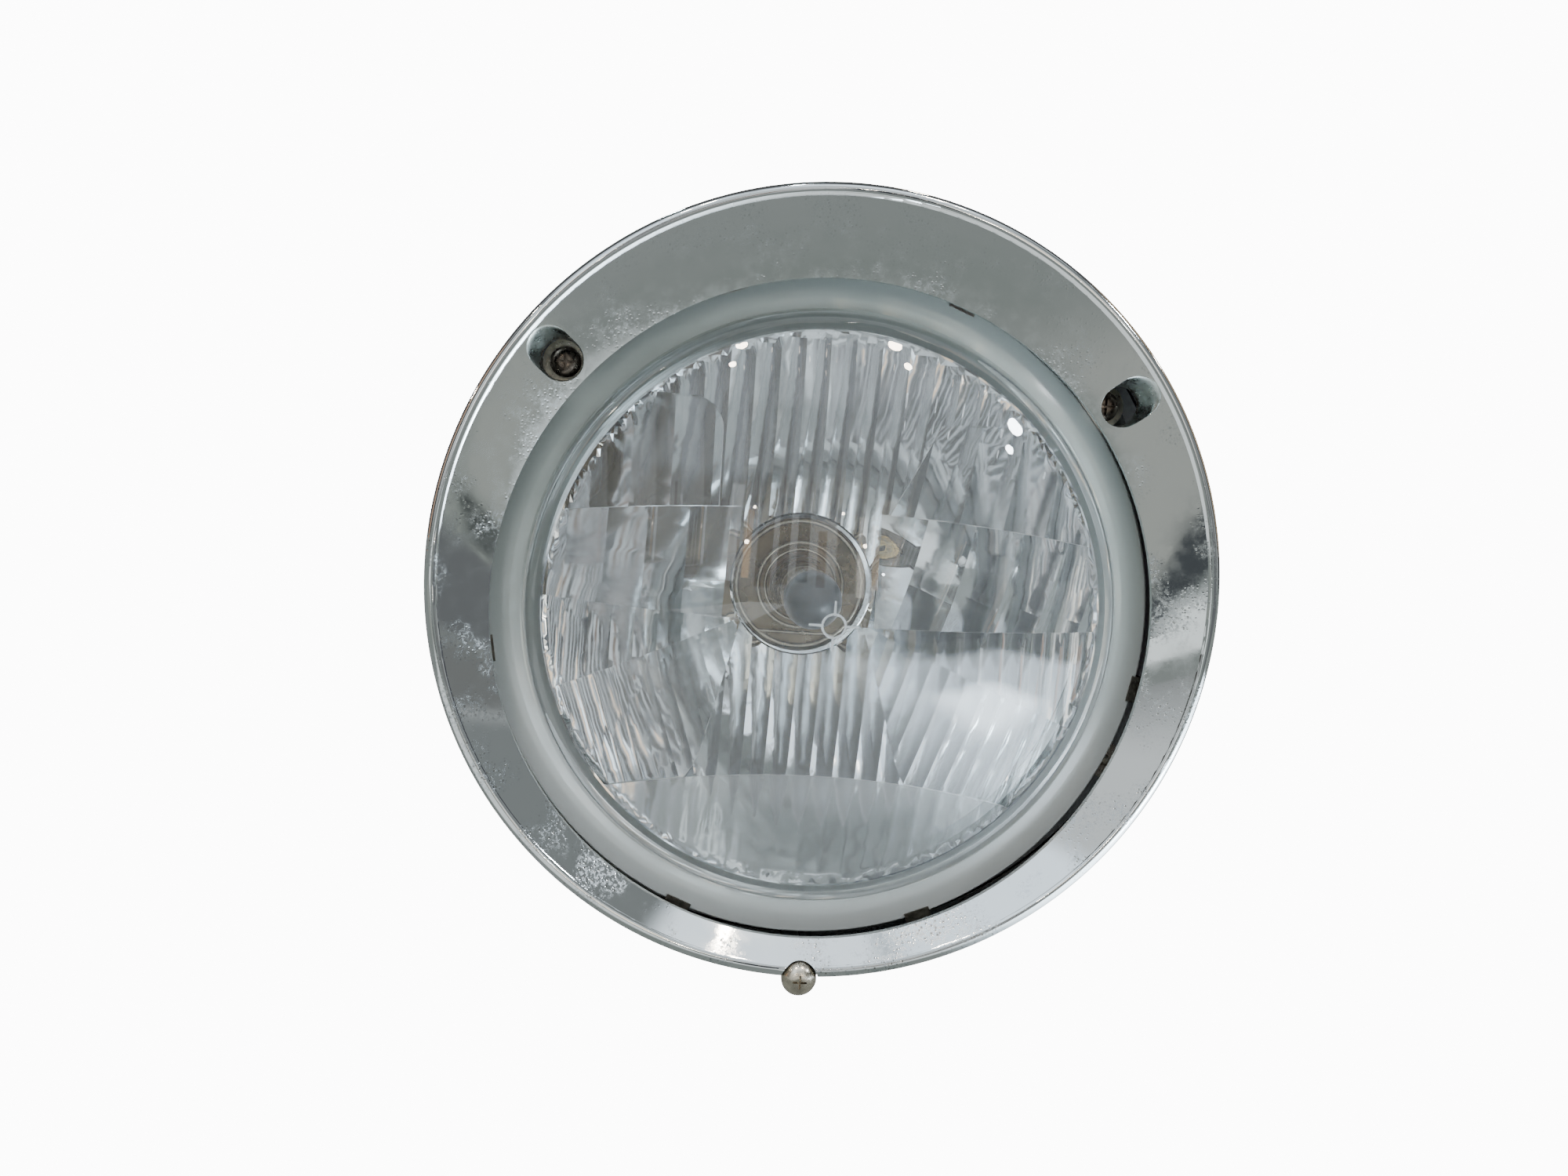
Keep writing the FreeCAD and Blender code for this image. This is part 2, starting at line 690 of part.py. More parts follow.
def parking_socket():
    outer = PARKING_HOLE - 0.2
    outline = [
        (4.8, 38.5),
        (outer, 38.5),
        (outer, 44.4),
        (7.8, 44.4),
        (7.8, 46),
        (outer, 46),
        (outer, 54),
        (2.4, 54),
        (2.4, 52.8),
        (4.8, 52.8),
    ]
    return parking(outline)


def parking_bulb_base():
    outline = [
        (0, PARKING_CAP_FRONT),
        (PARKING_CAP, PARKING_CAP_FRONT),
        (PARKING_CAP, CONTACT_FRONT - 1.4),
        (1.6, CONTACT_FRONT - 1),
        (1.6, CONTACT_FRONT),
        (0, CONTACT_FRONT),
    ]
    return parking(outline)


def parking_bulb_glass():
    outline = [
        (0, 28.4),
        (0.8, 28.4),
        ((3.5, 29.8), (PARKING_TUBE, 32.8)),
        (PARKING_TUBE, PARKING_CAP_FRONT),
        (PARKING_TUBE - 0.6, PARKING_CAP_FRONT),
        (PARKING_TUBE - 0.6, 32.9),
        ((3.0, 30.3), (0.8, 29.0)),
        (0, 29.0),
    ]
    return parking(outline)


def parking_terminal():
    """Spring contact through the socket's end, with a flat push-on blade."""
    x, z = around(PARKING_ANGLE, PARKING_RADIUS)
    contact = parking([(0, CONTACT_FRONT), (2.2, CONTACT_FRONT), (2.2, 55), (0, 55)])
    blade = block(x - BLADE_HALF, x + BLADE_HALF, 55, 64, z - 0.4, z + 0.4)
    shoulder = block(x - BLADE_HALF, x + BLADE_HALF, 54.2, 55, z - 1.2, z + 1.2)
    return fused([contact, shoulder, blade])


def aim_screw(side):
    """Pan head in front of the frame's ear, long shank through the ear and the nut."""
    x, z = nut_place(side)
    front = FRAME_FRONT - AIM_HEAD_DEPTH
    outline = [
        (0, front),
        (0.6, front),
        ((0.78 * AIM_HEAD, front + 0.5), (AIM_HEAD, front + 1.6)),
        (AIM_HEAD, FRAME_FRONT),
        (AIM_SHANK, FRAME_FRONT),
        (AIM_SHANK, AIM_TIP - 1.2),
        (AIM_SHANK - 1, AIM_TIP),
        (0, AIM_TIP),
    ]
    screw = turned(outline, x, LENS_Z + z)
    return screw.cut(cross_recess(front, 0.57 * AIM_HEAD, RECESS_DEPTH, x, LENS_Z + z))


def screw_retainer(side):
    """Ring pressed on the shank behind the ear, so that the screw pulls as well as pushes."""
    x, z = nut_place(side)
    back = FRAME_FRONT + STEEL
    return tube(RETAINER, AIM_SHANK, back, back + 1, x, LENS_Z + z)


NODES = {
    "trim_ring": trim_ring,
    "trim_screw": trim_screw,
    "body_seal": body_seal,
    "support_ring": support_ring,
    "trim_clips": trim_clips,
    "rivets": rivets,
    "top_hook": top_hook,
    "pivot_stud": pivot_stud,
    "pivot_socket": pivot_socket,
    "adjusting_frame": adjusting_frame,
    "pivot_bracket": pivot_bracket,
    "reflector": reflector,
    "lens_gasket": lens_gasket,
    "lens": lens,
    "lens_clips": lens_clips,
    "bulb_seat": bulb_seat,
    "bulb_clip": bulb_clip,
    "bulb_base": bulb_base,
    "bulb_glass": bulb_glass,
    "low_beam_filament": low_beam_filament,
    "high_beam_filament": high_beam_filament,
    "low_beam_shield": low_beam_shield,
    "filament_supports": filament_supports,
    "bulb_insulator": bulb_insulator,
    "bulb_terminals": bulb_terminals,
    "parking_socket": parking_socket,
    "parking_bulb_base": parking_bulb_base,
    "parking_bulb_glass": parking_bulb_glass,
    "parking_terminal": parking_terminal,
}
for side in AIM_ANGLES:
    NODES["aim_nut_" + side] = lambda side=side: aim_nut(side)
    NODES["aim_screw_" + side] = lambda side=side: aim_screw(side)
    NODES["screw_retainer_" + side] = lambda side=side: screw_retainer(side)

os.makedirs("parts", exist_ok=True)
for name, make in NODES.items():
    shape = make()
    if not shape.isValid():
        print("not valid:", name)
    print(f"{name:22s} solids {len(shape.Solids)}  volume {shape.Volume:.0f}")
    shape.exportStep(f"parts/{name}.step")
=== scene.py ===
"""Looks of a round car headlight: pressed lens, chromed trim ring, reflector, bulb and fittings.

The CAD model's frame is used: the lamp shines along -Y and +Z is up. Sizes are in millimetres and
become metres in make_piece; the surroundings are in metres.
"""
import bmesh
import bpy
import math
import numpy as np
from collections import namedtuple
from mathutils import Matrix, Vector
from mathutils.geometry import delaunay_2d_cdt


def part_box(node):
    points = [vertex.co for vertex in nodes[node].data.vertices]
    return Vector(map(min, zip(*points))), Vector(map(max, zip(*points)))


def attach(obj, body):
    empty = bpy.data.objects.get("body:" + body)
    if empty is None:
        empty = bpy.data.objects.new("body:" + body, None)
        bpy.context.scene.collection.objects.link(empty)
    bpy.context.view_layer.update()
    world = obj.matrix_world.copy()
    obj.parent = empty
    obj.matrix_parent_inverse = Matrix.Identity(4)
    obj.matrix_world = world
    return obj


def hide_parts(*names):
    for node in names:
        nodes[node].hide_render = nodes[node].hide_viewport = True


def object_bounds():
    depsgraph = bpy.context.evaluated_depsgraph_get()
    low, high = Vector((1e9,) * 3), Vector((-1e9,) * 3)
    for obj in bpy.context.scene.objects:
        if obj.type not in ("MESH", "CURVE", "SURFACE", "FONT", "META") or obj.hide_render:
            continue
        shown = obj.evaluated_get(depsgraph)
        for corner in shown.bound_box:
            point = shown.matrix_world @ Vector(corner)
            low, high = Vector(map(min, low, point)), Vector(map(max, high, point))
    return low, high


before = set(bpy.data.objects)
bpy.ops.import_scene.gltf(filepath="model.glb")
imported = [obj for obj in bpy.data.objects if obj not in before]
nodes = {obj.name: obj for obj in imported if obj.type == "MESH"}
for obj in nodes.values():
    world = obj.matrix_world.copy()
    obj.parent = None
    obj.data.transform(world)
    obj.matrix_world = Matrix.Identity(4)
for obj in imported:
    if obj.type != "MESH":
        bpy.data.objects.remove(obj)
cad_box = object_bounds()
MM = 0.001
TURN = 2 * math.pi


# ---------------------------------------------------------------- sizes, in millimetres

def box_mm(node):
    low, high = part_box(node)
    return low / MM, high / MM


# lens: a dome, a rounded shoulder and a flat rim. The flutes are inside the dome.
GLASS_LOW, GLASS_HIGH = box_mm("lens")
AXIS_Z = (GLASS_LOW.z + GLASS_HIGH.z) / 2
GLASS_RADIUS = (GLASS_HIGH.x - GLASS_LOW.x) / 2
DOME_FRONT = GLASS_LOW.y
GLASS_BACK = GLASS_HIGH.y
GLASS_FRONT = GLASS_BACK - 4.3
GLASS_THICK = 4.0
DOME_CURVE, DOME_RADIUS = 132.0, 75.5
SHOULDER_RADIUS = 78.6
FLUTED_RADIUS = 72.5
# trim ring: rolled bead, dished band, lens opening and access holes with their drawn edges
BEAD_RADIUS, BEAD_FRONT, BEAD_CURVE, BEAD_TURN = 102.0, -34.0, 1.9, 218.0
BAND_RADIUS, BAND_FRONT = 98.6, -33.27
OPENING_RADIUS, OPENING_FRONT = 86.2, -28.0
HOLE_RADIUS, HOLE_WIDE, HOLE_LONG = 95.5, 5.5, 2.0
HOLE_BEARINGS = {"left": -50, "right": 50}
CUP_FLOOR, CUP_CENTRE, CUP_RADIUS, CUP_WALL = -25.0, 93.6, 5.1, 0.3
# bulb: glass tube with a rounded, coated tip, and the stepped metal cap behind it
TUBE_RADIUS, TUBE_TIP, TUBE_END, TUBE_WALL = 8.2, -1.0, 44.5, 1.0
TIP_DEPTH, TIP_DEPTH_INSIDE, COAT_LENGTH = 7.5, 6.5, 2.5
CAP_RINGS = [(19.4, 46.4, 0.7), (13.0, 43.1, 0.65), (10.9, 42.7, 0.5)]  # radius, y, radius of the roll
LIP_REACH, LIP_Y, LIP_HEIGHT, LIP_ROLL = 11.6, 46.3, -15.3, 0.55
# reflector bowl
VERTEX, FOCUS = 48.0, 28.0


# ---------------------------------------------------------------- materials

class Graph:
    """A material or world node tree, with short ways to add and join nodes."""

    def __init__(self, owner):
        owner.use_nodes = True
        self.tree = owner.node_tree
        self.tree.nodes.clear()

    def add(self, kind, **settings):
        node = self.tree.nodes.new("ShaderNode" + kind)
        for name, value in settings.items():
            setattr(node, name, value)
        return node

    def feed(self, value, socket):
        """Joins an output to an input, or sets the input to a plain value."""
        if isinstance(value, bpy.types.NodeSocket):
            self.tree.links.new(value, socket)
        else:
            socket.default_value = value

    def maths(self, operation, *values):
        node = self.add("Math", operation=operation)
        for value, socket in zip(values, node.inputs):
            self.feed(value, socket)
        return node.outputs[0]

    def place(self, output="Object"):
        """Where a point is in the lamp's frame, in metres, or a direction if Generated in a world."""
        return self.add("TexCoord").outputs[output]

    def split(self, vector):
        node = self.add("SeparateXYZ")
        self.feed(vector, node.inputs[0])
        return node.outputs

    def noise(self, size_mm, detail=3.0, rough=0.55):
        node = self.add("TexNoise")
        self.feed(self.place(), node.inputs["Vector"])
        node.inputs["Scale"].default_value = 1 / (size_mm * MM)
        node.inputs["Detail"].default_value = detail
        node.inputs["Roughness"].default_value = rough
        return node.outputs["Fac"]

    def cells(self, size_mm):
        """Distance from the middle of the nearest of many scattered cells."""
        node = self.add("TexVoronoi")
        self.feed(self.place(), node.inputs["Vector"])
        node.inputs["Scale"].default_value = 1 / (size_mm * MM)
        return node.outputs["Distance"]

    def ranged(self, value, low, high, to_low=0.0, to_high=1.0):
        """A soft step from to_low, where value is low, to to_high, where it is high."""
        node = self.add("MapRange", interpolation_type="SMOOTHSTEP")
        for given, name in ((value, "Value"), (low, "From Min"), (high, "From Max"),
                            (to_low, "To Min"), (to_high, "To Max")):
            self.feed(given, node.inputs[name])
        return node.outputs[0]

    def between(self, value, low, high, soft):
        """1 where value lies from low to high, falling to 0 over soft beyond them."""
        rising = self.ranged(value, low - soft, low)
        return self.maths("MULTIPLY", rising, self.ranged(value, high, high + soft, 1.0, 0.0))

    def blend(self, share, first, second):
        node = self.add("Mix", data_type="RGBA")
        for given, socket in ((share, node.inputs[0]), (first, node.inputs[6]), (second, node.inputs[7])):
            self.feed((*given, 1) if isinstance(given, tuple) else given, socket)
        return node.outputs[2]

    def bump(self, height, depth_mm):
        node = self.add("Bump")
        node.inputs["Strength"].default_value = 1.0
        node.inputs["Distance"].default_value = depth_mm * MM
        self.feed(height, node.inputs["Height"])
        return node.outputs[0]


def finish_of(name, **sockets):
    """A material with one Principled shader. Sockets are given as Base_Color=..., Roughness=..."""
    made = bpy.data.materials.new(name)
    graph = Graph(made)
    shader = graph.add("BsdfPrincipled")
    graph.feed(shader.outputs[0], graph.add("OutputMaterial").inputs["Surface"])
    graph.shader = shader
    dress(graph, **sockets)
    return made, graph


def dress(graph, **sockets):
    for key, value in sockets.items():
        value = (*value, 1) if isinstance(value, tuple) else value
        graph.feed(value, graph.shader.inputs[key.replace("_", " ")])


def metal(name, light, dark, rough, grain_mm, pit_mm, pit_depth=0.02):
    """Bare or plated metal: two tones that drift, uneven gloss and fine pits."""
    made, graph = finish_of(name, Metallic=1.0)
    tone = graph.blend(graph.ranged(graph.noise(grain_mm, 5, 0.6), 0.35, 0.68), light, dark)
    gloss = graph.ranged(graph.noise(grain_mm * 0.4, 4, 0.6), 0.3, 0.75, rough * 0.7, rough * 1.5)
    pits = graph.bump(graph.noise(pit_mm, 2, 0.5), pit_depth)
    dress(graph, Base_Color=tone, Roughness=gloss, Normal=pits)
    return made


def chrome():
    """Old chrome with patches of fine pits and dust, most of them low down."""
    made, graph = finish_of("chrome", Metallic=1.0)
    pits = graph.ranged(graph.cells(1.1), 0.10, 0.34, 1.0, 0.0)
    patch = graph.ranged(graph.noise(16, 4, 0.65), 0.44, 0.66)
    height = graph.split(graph.place())[2]
    worn = graph.maths("MULTIPLY", patch, graph.ranged(height, 0.05, -0.07, 0.25, 1.0))
    speckle = graph.maths("MULTIPLY", worn, graph.ranged(graph.noise(0.9, 3, 0.7), 0.42, 0.62))
    pitted = graph.maths("MULTIPLY", worn, pits)
    tone = graph.blend(speckle, (0.60, 0.62, 0.615), (0.40, 0.43, 0.45))
    tone = graph.blend(pitted, tone, (0.20, 0.19, 0.17))
    gloss = graph.maths("ADD", graph.ranged(graph.noise(5, 4, 0.6), 0.35, 0.7, 0.035, 0.09),
                        graph.maths("MULTIPLY", speckle, 0.34))
    sunk = graph.maths("MULTIPLY", pitted, -1.0)
    dress(graph, Base_Color=tone, Roughness=gloss, Normal=graph.bump(sunk, 0.03))
    return made


def glass(name, tint, milk=0.0, rough=0.0, ior=1.52, smear=0.02):
    """Clear glass. Milk is the share of it that dust or age has made opaque. Tint may be a function."""
    made, graph = finish_of(name, IOR=ior, Transmission_Weight=1.0 - milk)
    dress(graph, Base_Color=tint(graph) if callable(tint) else tint)
    dress(graph, Roughness=graph.ranged(graph.noise(14, 4, 0.6), 0.45, 0.75, rough, rough + smear))
    return made


def rim_tint(graph):
    """Greenish, and paler towards the foot: painted light, since the top of the rim lies in the trim ring's
    shade and the foot does not.
    """
    # the blend to a paler tint low down is painted light, standing in for the shade that the trim ring casts
    # on the top of the rim
    painted_light_low_down = graph.ranged(graph.split(graph.place())[2], 0.02, -0.06)
    return graph.blend(painted_light_low_down, (0.52, 0.57, 0.54), (0.84, 0.88, 0.87))


def mirror():
    """Steel bowl: aluminised in front, with a faint film of dust, and dull behind."""
    made, graph = finish_of("aluminised", Metallic=1.0)
    x, y, z = graph.split(graph.place())
    up = graph.maths("SUBTRACT", z, AXIS_Z * MM)
    square = graph.maths("ADD", graph.maths("MULTIPLY", x, x), graph.maths("MULTIPLY", up, up))
    depth = graph.maths("ADD", y, graph.maths("DIVIDE", square, 4 * FOCUS * MM))
    behind = graph.ranged(depth, (VERTEX + 0.3) * MM, (VERTEX + 0.5) * MM)
    dust = graph.ranged(graph.noise(22, 5, 0.65), 0.4, 0.75)
    bright = graph.blend(dust, (0.86, 0.88, 0.90), (0.76, 0.77, 0.77))
    patch = graph.ranged(graph.noise(11, 5, 0.6), 0.35, 0.7)
    stained = graph.blend(patch, (0.40, 0.40, 0.38), (0.25, 0.25, 0.24))
    gloss = graph.ranged(graph.noise(9, 4, 0.6), 0.35, 0.75, 0.03, 0.08)
    gloss = graph.maths("ADD", gloss, graph.maths("MULTIPLY", behind, 0.36))
    dress(graph, Base_Color=graph.blend(behind, bright, stained), Roughness=gloss)
    return made


def plain(name, light, dark, rough, grain_mm=5.0, bump_mm=0.02):
    """Paint, rubber or plastic: two close tones, a fine surface grain and uneven gloss."""
    made, graph = finish_of(name)
    tone = graph.blend(graph.ranged(graph.noise(grain_mm, 5, 0.6), 0.35, 0.7), light, dark)
    gloss = graph.ranged(graph.noise(grain_mm * 0.5, 3, 0.6), 0.3, 0.7, rough * 0.8, rough * 1.15)
    grain = graph.bump(graph.noise(0.5, 2, 0.5), bump_mm)
    dress(graph, Base_Color=tone, Roughness=gloss, Normal=grain)
    return made


# by slot of the record
FINISHES = {
    "chrome_trim": chrome(),
    "nickel_screw": metal("nickel", (0.62, 0.56, 0.46), (0.40, 0.36, 0.30),
                          rough=0.24, grain_mm=3, pit_mm=0.4, pit_depth=0.015),
    "black_rubber": plain("rubber", (0.035, 0.035, 0.034), (0.018, 0.018, 0.018), rough=0.62),
    "grey_steel": plain("grey_paint", (0.27, 0.28, 0.29), (0.21, 0.22, 0.23), rough=0.40, grain_mm=9),
    "spring_steel": metal("spring_steel", (0.46, 0.44, 0.40), (0.30, 0.28, 0.25),
                          rough=0.30, grain_mm=3, pit_mm=0.3),
    "zinc_steel": metal("zinc", (0.60, 0.57, 0.46), (0.42, 0.41, 0.36),
                        rough=0.36, grain_mm=4, pit_mm=0.5),
    "white_nylon": plain("nylon", (0.78, 0.76, 0.69), (0.66, 0.63, 0.55), rough=0.46),
    "mirror_reflector": mirror(),
    "lens_glass": glass("lens_glass", (0.96, 0.98, 0.985), milk=0.025),
    "bulb_glass": glass("quartz", (0.97, 0.98, 0.98), ior=1.46, smear=0.01),
    "bulb_metal": metal("bulb_cap", (0.185, 0.145, 0.098), (0.130, 0.100, 0.066),
                        rough=0.30, grain_mm=20, pit_mm=0.6, pit_depth=0.003),
    "tungsten": metal("tungsten", (0.34, 0.33, 0.31), (0.20, 0.19, 0.18),
                      rough=0.38, grain_mm=1, pit_mm=0.1),
    "brown_phenolic": plain("phenolic", (0.075, 0.045, 0.03), (0.04, 0.025, 0.018), rough=0.40),
    "tinned_brass": metal("tinned_brass", (0.66, 0.62, 0.50), (0.46, 0.42, 0.32),
                          rough=0.27, grain_mm=2, pit_mm=0.3),
    "brass_cap": metal("brass", (0.72, 0.55, 0.26), (0.48, 0.35, 0.16),
                       rough=0.26, grain_mm=2, pit_mm=0.3),
}
# a darker copy of the nickel, with duller gloss: painted shade on the aim screws down in their access holes
SHADED_DULL_SCREW = metal("dull_screw_painted_shade", (0.20, 0.17, 0.14), (0.11, 0.09, 0.075),
                   rough=0.34, grain_mm=3, pit_mm=0.4)
# nodes that are duller or darker than their slot; the aim screws and lens clips are darkened as painted shade
OWN_FINISH = {
    "aim_screw_left": SHADED_DULL_SCREW,
    "aim_screw_right": SHADED_DULL_SCREW,
    "parking_socket": metal("dark_socket", (0.14, 0.14, 0.13), (0.09, 0.09, 0.085),
                            rough=0.4, grain_mm=3, pit_mm=0.4),
    # darkened clips: painted shade, so they read as the dark gap between lens and trim ring
    "lens_clips": metal("dull_clips_painted_shade", (0.17, 0.155, 0.13), (0.10, 0.09, 0.075),
                        rough=0.40, grain_mm=3, pit_mm=0.4),
}
# parts of this script's own pieces
# a darker, greener copy of the chrome, with duller gloss: painted shade inside the access-hole cups
SHADED_DULL_CHROME = metal("dull_chrome_painted_shade", (0.40, 0.43, 0.41), (0.30, 0.33, 0.31),
                    rough=0.30, grain_mm=6, pit_mm=0.8, pit_depth=0.004)
RIM_GLASS = glass("lens_rim_glass", rim_tint, milk=0.38, rough=0.10, smear=0.1)
MATT_GLASS = glass("lens_mark", (0.92, 0.95, 0.95), milk=0.70, rough=0.25, smear=0.05)
DUSTY_GLASS = glass("lens_foot_glass", (0.93, 0.95, 0.95), milk=0.26, rough=0.03, smear=0.05)
TIP_COAT = plain("bulb_tip_coat", (0.040, 0.041, 0.048), (0.028, 0.029, 0.034),
                 rough=0.40, grain_mm=4, bump_mm=0.01)
# a much lighter copy of the cap's dark metal: painted highlights along the cap's rolled edges
CAP_EDGE_PAINTED_HIGHLIGHT = metal("cap_edge_painted_highlight", (0.52, 0.47, 0.38), (0.42, 0.37, 0.30),
                 rough=0.2, grain_mm=8, pit_mm=0.4, pit_depth=0.003)


# ---------------------------------------------------------------- mesh helpers

def make_piece(name, points, faces, body, slot, sharp, replaced=(), finishes=(), tags=None):
    """A smooth-shaded mesh piece from points in millimetres, riding on a body.

    Edges above the angle sharp, in degrees, stay sharp. Finishes stand in for the slot's own finish,
    and tags say which of them each face has.
    """
    mesh = bpy.data.meshes.new(name)
    mesh.from_pydata([tuple(c * MM for c in p) for p in points], [], faces)
    mesh.validate()
    shape = bmesh.new()
    shape.from_mesh(mesh)
    bmesh.ops.recalc_face_normals(shape, faces=shape.faces)
    if shape.calc_volume(signed=True) < 0:
        bmesh.ops.reverse_faces(shape, faces=shape.faces)
    shape.to_mesh(mesh)
    shape.free()
    for finish in finishes or [FINISHES[slot]]:
        mesh.materials.append(finish)
    if tags is not None:
        mesh.polygons.foreach_set("material_index", tags)
    mesh.polygons.foreach_set("use_smooth", [True] * len(mesh.polygons))
    mesh.set_sharp_from_angle(angle=math.radians(sharp))
    piece = bpy.data.objects.new(name, mesh)
    bpy.context.scene.collection.objects.link(piece)
    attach(piece, body)
    if replaced:
        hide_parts(*replaced)


def arc(centre, radius, start, end, steps):
    """Points of an arc in an outline of (radius, y). Angles are in degrees."""
    angles = np.radians(np.linspace(start, end, steps + 1))
    return [(centre[0] + radius * math.cos(a), centre[1] + radius * math.sin(a)) for a in angles]


def unrepeated(corners):
    """A face's corners, each once where neighbours are the same point."""
    return [c for k, c in enumerate(corners) if c != corners[k - 1]]


def lathe(outline, segments, close=True):
    """Points and faces of an outline of (radius, y) spun about the lens axis."""
    points, rings = [], []
    for radius, y in outline:
        if radius < 1e-6:
            rings.append([len(points)] * segments)
            points.append((0.0, y, AXIS_Z))
            continue
        rings.append(list(range(len(points), len(points) + segments)))
        for i in range(segments):
            turn = TURN * i / segments
            points.append((radius * math.sin(turn), y, AXIS_Z + radius * math.cos(turn)))
    pairs = list(zip(rings, rings[1:]))
    if close:
        pairs.append((rings[-1], rings[0]))
    faces = []
    for first, second in pairs:
        for i in range(segments):
            j = (i + 1) % segments
            corners = unrepeated([first[i], first[j], second[j], second[i]])
            if len(corners) > 2:
                faces.append(corners)
    return points, faces


def tube_faces(rows, size, close=False):
    """Faces between neighbouring rows of points, where each row is a loop of so many points."""
    faces = []
    for row in range(rows if close else rows - 1):
        following = (row + 1) % rows
        for k in range(size):
            j = (k + 1) % size
            faces.append([row * size + k, row * size + j, following * size + j, following * size + k])
    return faces


def add_shape(points, faces, shape):
    """Adds another shape's points and faces."""
    base = len(points)
    points += shape[0]
    faces += [[base + i for i in face] for face in shape[1]]


def loop_points(radius, count):
    """A circle's points, clockwise from the top as seen from the front."""
    turns = TURN * np.arange(count) / count
    return np.stack([radius * np.sin(turns), radius * np.cos(turns)], 1)


# ---------------------------------------------------------------- lens: blocks of flutes

# Places on the lens are (u, v), to the right of and above the lens axis as seen from the front.
# The blocks meet at the lines below.
MIDDLE = -8.0
SLANT_LEFT, SLANT_RIGHT = -24.4, 8.9
STEP_LEFT, STEP_RIGHT = -24.4, 10.0
CORNER_EDGE, CORNER_TOP, CORNER_CURVE = -30.0, 53.5, 8.0
RIGHT_FOOT = 27.6
TRACE_STEP = 0.8


def lower_arc(u):
    return -39.3 - 0.0033 * u * u


def step_line(u):
    return 28.0 - u * u / 800


def left_slant(u):
    return -0.4 + 0.53 * (u - SLANT_LEFT)


def right_slant(u):
    return -0.448 * (u - SLANT_RIGHT)


def left_side(v):
    """Inner edge of the lower left block, which curves outwards near its foot."""
    return -23.2 + 0.215 * (v + 2) - 0.02 * np.clip(-34 - v, 0, None) ** 2


def right_side(v):
    return 8.2 - 0.34 * (v + 2.4) + 0.02 * np.clip(-33 - v, 0, None) ** 2


def right_edge(v):
    """Inner edge of the upper right block."""
    return 12.1 + 0.56 * (v - RIGHT_FOOT)


def right_top(u):
    return 51.5 - 0.004 * (u - 40) ** 2


def fan(w):
    """How far a flute of the top block leans, as a slope: upright on the left, more to the right."""
    return np.interp(w, [-40, -5, 5, 28, 60], [0.0, 0.05, 0.08, 0.21, 0.27])


def leaning(slope):
    return lambda w: np.full_like(np.asarray(w, float), slope)


# Pitch and depth of the flutes, their lean, the height that the lean counts from, how the block
# thickens with height, the sideways bow of the flutes, and their shift as a share of the pitch.
Block = namedtuple("Block", "pitch depth lean start wedge bow shift")
BLOCKS = {
    "top": Block(5.9, 0.36, fan, 28.0, 0.000, 0.0, 0.0),
    "upper_left": Block(10.0, 0.55, leaning(0.0), 28.0, 0.018, 0.0, 0.2),
    "upper_right": Block(12.2, 0.70, leaning(0.24), 28.0, 0.015, 0.0, 0.5),
    "middle_left": Block(10.0, 0.55, leaning(0.02), 28.0, -0.020, 0.0, 0.7),
    "middle_right": Block(13.0, 0.75, leaning(0.36), 28.0, -0.020, 2.2, 0.3),
    "lower_left": Block(4.95, 0.20, leaning(-0.34), 0.0, 0.030, 0.0, 0.0),
    "lower_right": Block(5.6, 0.22, leaning(0.28), 0.0, 0.030, 0.0, 0.0),
    "lower_middle": Block(5.8, 0.36, leaning(0.0), 0.0, 0.010, 0.0, 0.4),
    "foot": Block(5.8, 0.16, leaning(0.0), 0.0, 0.0, 0.0, 0.4),
}
NAMES = list(BLOCKS)
BLOCK_STEP = 0.5
RIM_FADE = 1.2
BOW_LOW, BOW_HIGH = -27.0, 28.0
WINDOW = (-8.8, 9.6)
WINDOW_RADIUS, WINDOW_EDGE = 17.0, 0.4
MARK_RING, MARK_REACH, MARK_WIDTH, MARK_HEIGHT = 2.9, 6.2, 0.55, 0.3


def block_at(u, v):
    """The index in NAMES of the block that each point lies in."""
    below = np.where(u < MIDDLE, v < left_slant(u), v < right_slant(u))
    past_left = np.clip(u - (CORNER_EDGE - CORNER_CURVE), 0, None)
    past_top = np.clip(v - (CORNER_TOP - CORNER_CURVE), 0, None)
    corner = (u < CORNER_EDGE) & (v < CORNER_TOP) & (np.hypot(past_left, past_top) < CORNER_CURVE)
    rules = [
        ("foot", v < lower_arc(u)),
        ("lower_left", below & (u < left_side(v))),
        ("lower_right", below & (u > right_side(v))),
        ("lower_middle", v < 0.0),
        ("middle_left", (v < step_line(u)) & (u < STEP_LEFT)),
        ("middle_right", (v < step_line(u)) & (u > STEP_RIGHT)),
        ("upper_left", (v > step_line(u)) & corner),
        ("upper_right", (v > step_line(u)) & (v < right_top(u)) & (u > right_edge(v))),
        ("top", v > -100),
    ]
    return np.select([rule for _, rule in rules], [NAMES.index(name) for name, _ in rules])


def bow_of(block, v):
    """Sideways bend of a block's flutes at a height."""
    return block.bow * np.sin(np.clip((v - BOW_LOW) / (BOW_HIGH - BOW_LOW), 0, 1) * math.pi)


def across(block, u, v):
    """Where the flute line through each point crosses the height that its block's lean counts from."""
    start = u - bow_of(block, v)
    w = start
    for _ in range(6):
        w = start - (v - block.start) * block.lean(w)
    return w


def centre_mark(u, v):
    """1 on the small raised circle and the four strokes round it that mark the lens axis."""
    radius = np.hypot(u, v)
    ring = np.abs(radius - MARK_RING) < MARK_WIDTH / 2
    stroke = (radius > MARK_RING) & (radius < MARK_REACH)
    stroke = stroke & (np.minimum(np.abs(u), np.abs(v)) < MARK_WIDTH / 2)
    return ring | stroke


